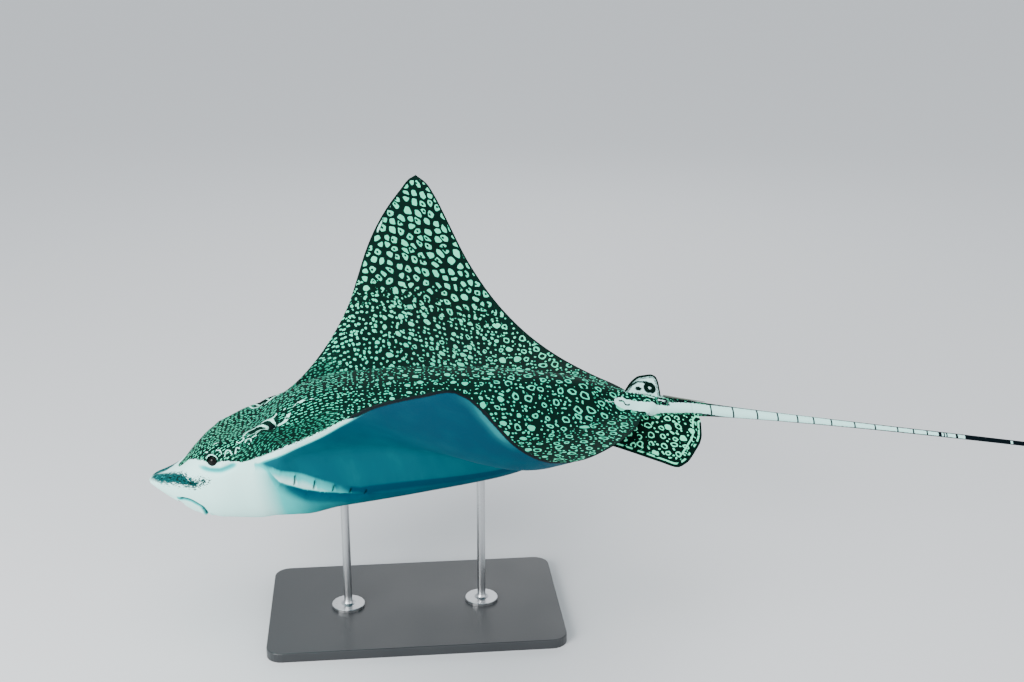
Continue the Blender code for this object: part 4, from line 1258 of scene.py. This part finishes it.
    # fins
    dashed = w.product(w.step(w.maths("ABSOLUTE", w.minus(rim, 0.0058)), 0.0020, 0.0012),
                       w.step(w.cloud(flat, 75.0, 1.0), 0.44, 0.50))
    inLine = w.product(w.step(w.maths("ABSOLUTE", w.minus(rim, 0.0165)), 0.0019, 0.0011),
                       w.step(w.apart(flat)[0], 0.975, 0.990), w.step(w.cloud(flat, 38.0, 1.0), 0.42, 0.47))
    pelvicMask = w.most(w.product(mask, w.step(rim, 0.0090, 0.0105)), dashed, inLine)
    colour = w.mix(w.number("isPelvic"), colour, w.mix(pelvicMask, paint["ground"], paint["mark"]))
    beads = w.product(w.step(rim, 0.0075, 0.0062), w.step(w.cloud(flat, 170.0, 1.0), 0.45, 0.50))
    blotches = w.scaled(ragged, 0.004, w.number("blotches"))
    dorsalDark = w.most(w.step(rim, 0.0040, 0.0030), w.step(blotches, 0.0004, -0.0004), beads)
    colour = w.mix(w.number("isDorsal"), colour, w.mix(dorsalDark, paint["white"], paint["ground"]))
    # painted shade: the pits and openings darken to black
    colour = w.mix(w.product(w.number("pitShade"), 0.95), colour, paint["black"])
    w.join(colour, shader.inputs["Base Color"])

    grain = w.cloud(flat, 900.0, 2.0)
    creases = w.cloud(flat, 1.0, 4.0, (220, 90, 90))
    low, high = paint["roughness"]
    w.join(w.scaled(w.product(grain, w.plus(broad, 0.4)), high - low, low),
           shader.inputs["Roughness"])
    height = w.plus(w.product(grain, 0.5), creases)
    w.relief(shader, height, 0.16, 0.0012)
    shader.inputs["Specular IOR Level"].default_value = paint["specular"]
    return material


skin.data.materials.clear()
skin.data.materials.append(skinMaterial())
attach(skin, "root")
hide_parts("head", "trunk", "wing_left", "wing_right", "tail_base", "tail_middle", "tail_end",
            "pelvic_left", "pelvic_right", "dorsal_fin")
print("skin finished")

eyePaint = {
    "pupil": 34,                  # degrees from the middle of the gaze
    "iris": 64,
    "dark": (0.0002, 0.0004, 0.0004, 1),
    "gold": (0.0030, 0.0065, 0.0045, 1),
    "rim": (0.0010, 0.0030, 0.0030, 1),
    "specular": 0.12,
    "coat": 0.10,
    "coatRoughness": 0.02,
}


def eyeMaterial():
    paint = eyePaint
    material, w, shader = newMaterial("eye")
    gaze = w.number("gaze")
    spokes = w.cloud(w.place("irisPlace"), 1.0, 3.0, (3.0, 14.0, 1.0))
    iris = w.mix(spokes, paint["dark"], paint["gold"])
    edge = w.scaled(spokes, 3.0, gaze)
    colour = w.mix(w.step(edge, paint["pupil"] - 1, paint["pupil"] + 2), paint["dark"], iris)
    colour = w.mix(w.step(edge, paint["iris"] - 3, paint["iris"] + 2), colour, paint["rim"])
    w.join(colour, shader.inputs["Base Color"])
    w.join(w.scaled(spokes, 0.10, 0.08), shader.inputs["Roughness"])
    w.relief(shader, spokes, 0.08, 0.0005)
    shader.inputs["Specular IOR Level"].default_value = paint["specular"]
    shader.inputs["Coat Weight"].default_value = paint["coat"]
    shader.inputs["Coat Roughness"].default_value = paint["coatRoughness"]
    return material


def addEye(side, name, material):
    centre, look, radius = eyeFrame(side)
    deselectAll()
    bpy.ops.mesh.primitive_uv_sphere_add(segments=48, ring_count=32, radius=radius)
    ball = bpy.context.object
    ball.name = ball.data.name = name + "Ball"
    turn = Vector((0, 0, 1)).rotation_difference(Vector(look)).to_matrix().to_4x4()
    flat = places(ball) / radius
    angle = np.degrees(np.arccos(np.clip(flat[:, 2], -1, 1)))
    around = np.arctan2(flat[:, 1], flat[:, 0])
    store(ball, "gaze", angle)
    store(ball, "irisPlace", np.stack([np.cos(around), np.sin(around), angle / 60], 1))
    bulge = 1 + 0.035 * bell(angle, 24) - 0.045 * ease(angle, 95, 150)
    setPlaces(ball, flat * bulge[:, None] * radius * 0.985)
    ball.data.transform(rayToWorld @ Matrix.Translation(Vector(centre)) @ turn)
    ball.data.shade_smooth()
    ball.data.materials.append(material)
    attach(ball, "root")
    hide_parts(name)


eyeFinish = eyeMaterial()
for side, name in ((-1, "eye_left"), (1, "eye_right")):
    addEye(side, name, eyeFinish)
print("eyes finished")

sting = {
    "start": 0.612,
    "length": 0.049,
    "halfWidth": 0.0026,
    "halfThickness": 0.0011,
    "lift": radians(1.2),
    "teeth": 26,
    "toothDepth": 0.34,           # share of the half width
    "bone": (0.16, 0.20, 0.15, 1),
    "boneDark": (0.010, 0.018, 0.016, 1),
}


def addSting():
    rows, columns = sting["teeth"] * 4 + 1, 17
    spine, row, column = addGrid("stingSpine", rows, columns)
    along = np.linspace(0, 1, rows)
    turn = np.linspace(0, 2 * pi, columns)
    tooth = (along * sting["teeth"]) % 1
    width = sting["halfWidth"] * (1 - along ** 1.6) + 0.0002
    width = width * (1 - sting["toothDepth"] * (1 - tooth) * ease(along, 0.12, 0.25))
    thick = sting["halfThickness"] * (1 - 0.7 * along)
    x = sting["start"] + sting["length"] * along
    high = (midline(x) + shape["tailRadius"](x) + sting["halfThickness"] * 0.6
            + sting["length"] * along * sin(sting["lift"]))
    cosTurn, sinTurn = np.cos(turn)[column], np.sin(turn)[column]
    ridge = 1 - 0.30 * bell(cosTurn, 0.22) * (sinTurn > 0)
    setPlaces(spine, np.stack([x[row] - ray["pivotX"], width[row] * cosTurn * np.abs(cosTurn) ** 0.15,
                               high[row] + thick[row] * sinTurn * ridge], 1) * discWidth)
    store(spine, "reach", along[row])
    weld(spine, 0.000005)
    closeHoles(spine)
    spine.data.transform(rayToWorld)
    makeActive(spine)
    bpy.ops.object.shade_smooth_by_angle(angle=radians(35))
    material, w, shader = newMaterial("spine")
    place = w.add("TexCoord").outputs["Object"]
    fibres = w.cloud(place, 1.0, 4.0, (40, 900, 900))
    # darker along the fibres and towards the base
    darkening = w.plus(w.product(fibres, 0.6), w.product(w.step(w.number("reach"), 0.45, 0.0), 0.5))
    w.join(w.mix(darkening, sting["bone"], sting["boneDark"]), shader.inputs["Base Color"])
    w.join(w.scaled(fibres, 0.3, 0.35), shader.inputs["Roughness"])
    w.relief(shader, fibres, 0.3, 0.0004)
    spine.data.materials.append(material)
    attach(spine, "root")
    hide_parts("sting")


addSting()
print("sting finished")

stand = {
    "paint": (0.016, 0.018, 0.020, 1),
    "paintWorn": (0.030, 0.033, 0.036, 1),
    "steel": (0.56, 0.57, 0.58, 1),
    "steelDark": (0.40, 0.41, 0.42, 1),
}


def paintedBase():
    material, w, shader = newMaterial("basePaint")
    place = w.add("TexCoord").outputs["Object"]
    cloud = w.cloud(place, 6.0, 3.0)
    peel = w.cloud(place, 420.0, 2.0)
    w.join(w.mix(cloud, stand["paint"], stand["paintWorn"]), shader.inputs["Base Color"])
    w.join(w.scaled(w.plus(cloud, w.product(peel, 0.4)), 0.22, 0.22),
           shader.inputs["Roughness"])
    w.relief(shader, peel, 0.12, 0.0006)
    return material


def brushedSteel():
    material, w, shader = newMaterial("rodSteel")
    place = w.add("TexCoord").outputs["Object"]
    brushed = w.cloud(place, 1.0, 3.0, (260, 260, 1800))
    cloud = w.cloud(place, 14.0, 3.0)
    w.join(w.mix(brushed, stand["steelDark"], stand["steel"]), shader.inputs["Base Color"])
    w.join(w.scaled(w.plus(brushed, cloud), 0.16, 0.14), shader.inputs["Roughness"])
    w.relief(shader, brushed, 0.08, 0.0003)
    shader.inputs["Metallic"].default_value = 1.0
    return material


steel = brushedSteel()
for name, finish in (("stand_base", paintedBase()), ("stand_rod_front", steel), ("stand_rod_rear", steel)):
    piece = bpy.data.objects[name]
    piece.data.materials.clear()
    piece.data.materials.append(finish)
print("stand finished")

view = {"place": (-0.0572, -2.4622, 1.3710), "down": radians(18.34), "turn": radians(-5.74),
        "width": radians(40)}


def addCamera():
    lens = bpy.data.cameras.new("camera")
    lens.sensor_width = 36
    lens.lens = lens.sensor_width / 2 / tan(view["width"] / 2)
    camera = bpy.data.objects.new("camera", lens)
    bpy.context.scene.collection.objects.link(camera)
    camera.location = view["place"]
    camera.rotation_euler = (pi / 2 - view["down"], 0, view["turn"])
    bpy.context.scene.camera = camera


studio = {
    "key": ((-2.4, -2.6, 1.7), 2.0, 215),      # place, size and power
    "top": ((-0.4, -0.6, 3.4), 2.6, 45),
    "fill": ((2.6, -2.6, 1.8), 2.6, 30),
    "back": ((0.8, 3.4, 2.6), 2.4, 22),
}


surroundings = {
    "floor": (0.70, 0.71, 0.72, 1),
    "floorRoughness": 0.8,
    "sky": (0.85, 0.9, 0.95, 1),
    "skyStrength": 1.15,
    "aim": (0.1, 0, 0.4),         # what every lamp points at
}


def addStudio():
    deselectAll()
    bpy.ops.mesh.primitive_plane_add(size=60)
    floor = bpy.context.object
    floor.name = "floor"
    paint = bpy.data.materials.new("floorPaint")
    paint.use_nodes = True
    shader = paint.node_tree.nodes["Principled BSDF"]
    shader.inputs["Base Color"].default_value = surroundings["floor"]
    shader.inputs["Roughness"].default_value = surroundings["floorRoughness"]
    floor.data.materials.append(paint)
    for name, (place, size, power) in studio.items():
        light = bpy.data.lights.new(name, "AREA")
        light.energy, light.size = power, size
        lamp = bpy.data.objects.new(name, light)
        bpy.context.scene.collection.objects.link(lamp)
        lamp.location = place
        toward = Vector(surroundings["aim"]) - Vector(place)
        lamp.rotation_euler = toward.to_track_quat("-Z", "Y").to_euler()
    world = bpy.data.worlds.new("studio")
    world.use_nodes = True
    sky = world.node_tree.nodes["Background"]
    sky.inputs["Color"].default_value = surroundings["sky"]
    sky.inputs["Strength"].default_value = surroundings["skyStrength"]
    bpy.context.scene.world = world


addCamera()
addStudio()
print("finished")
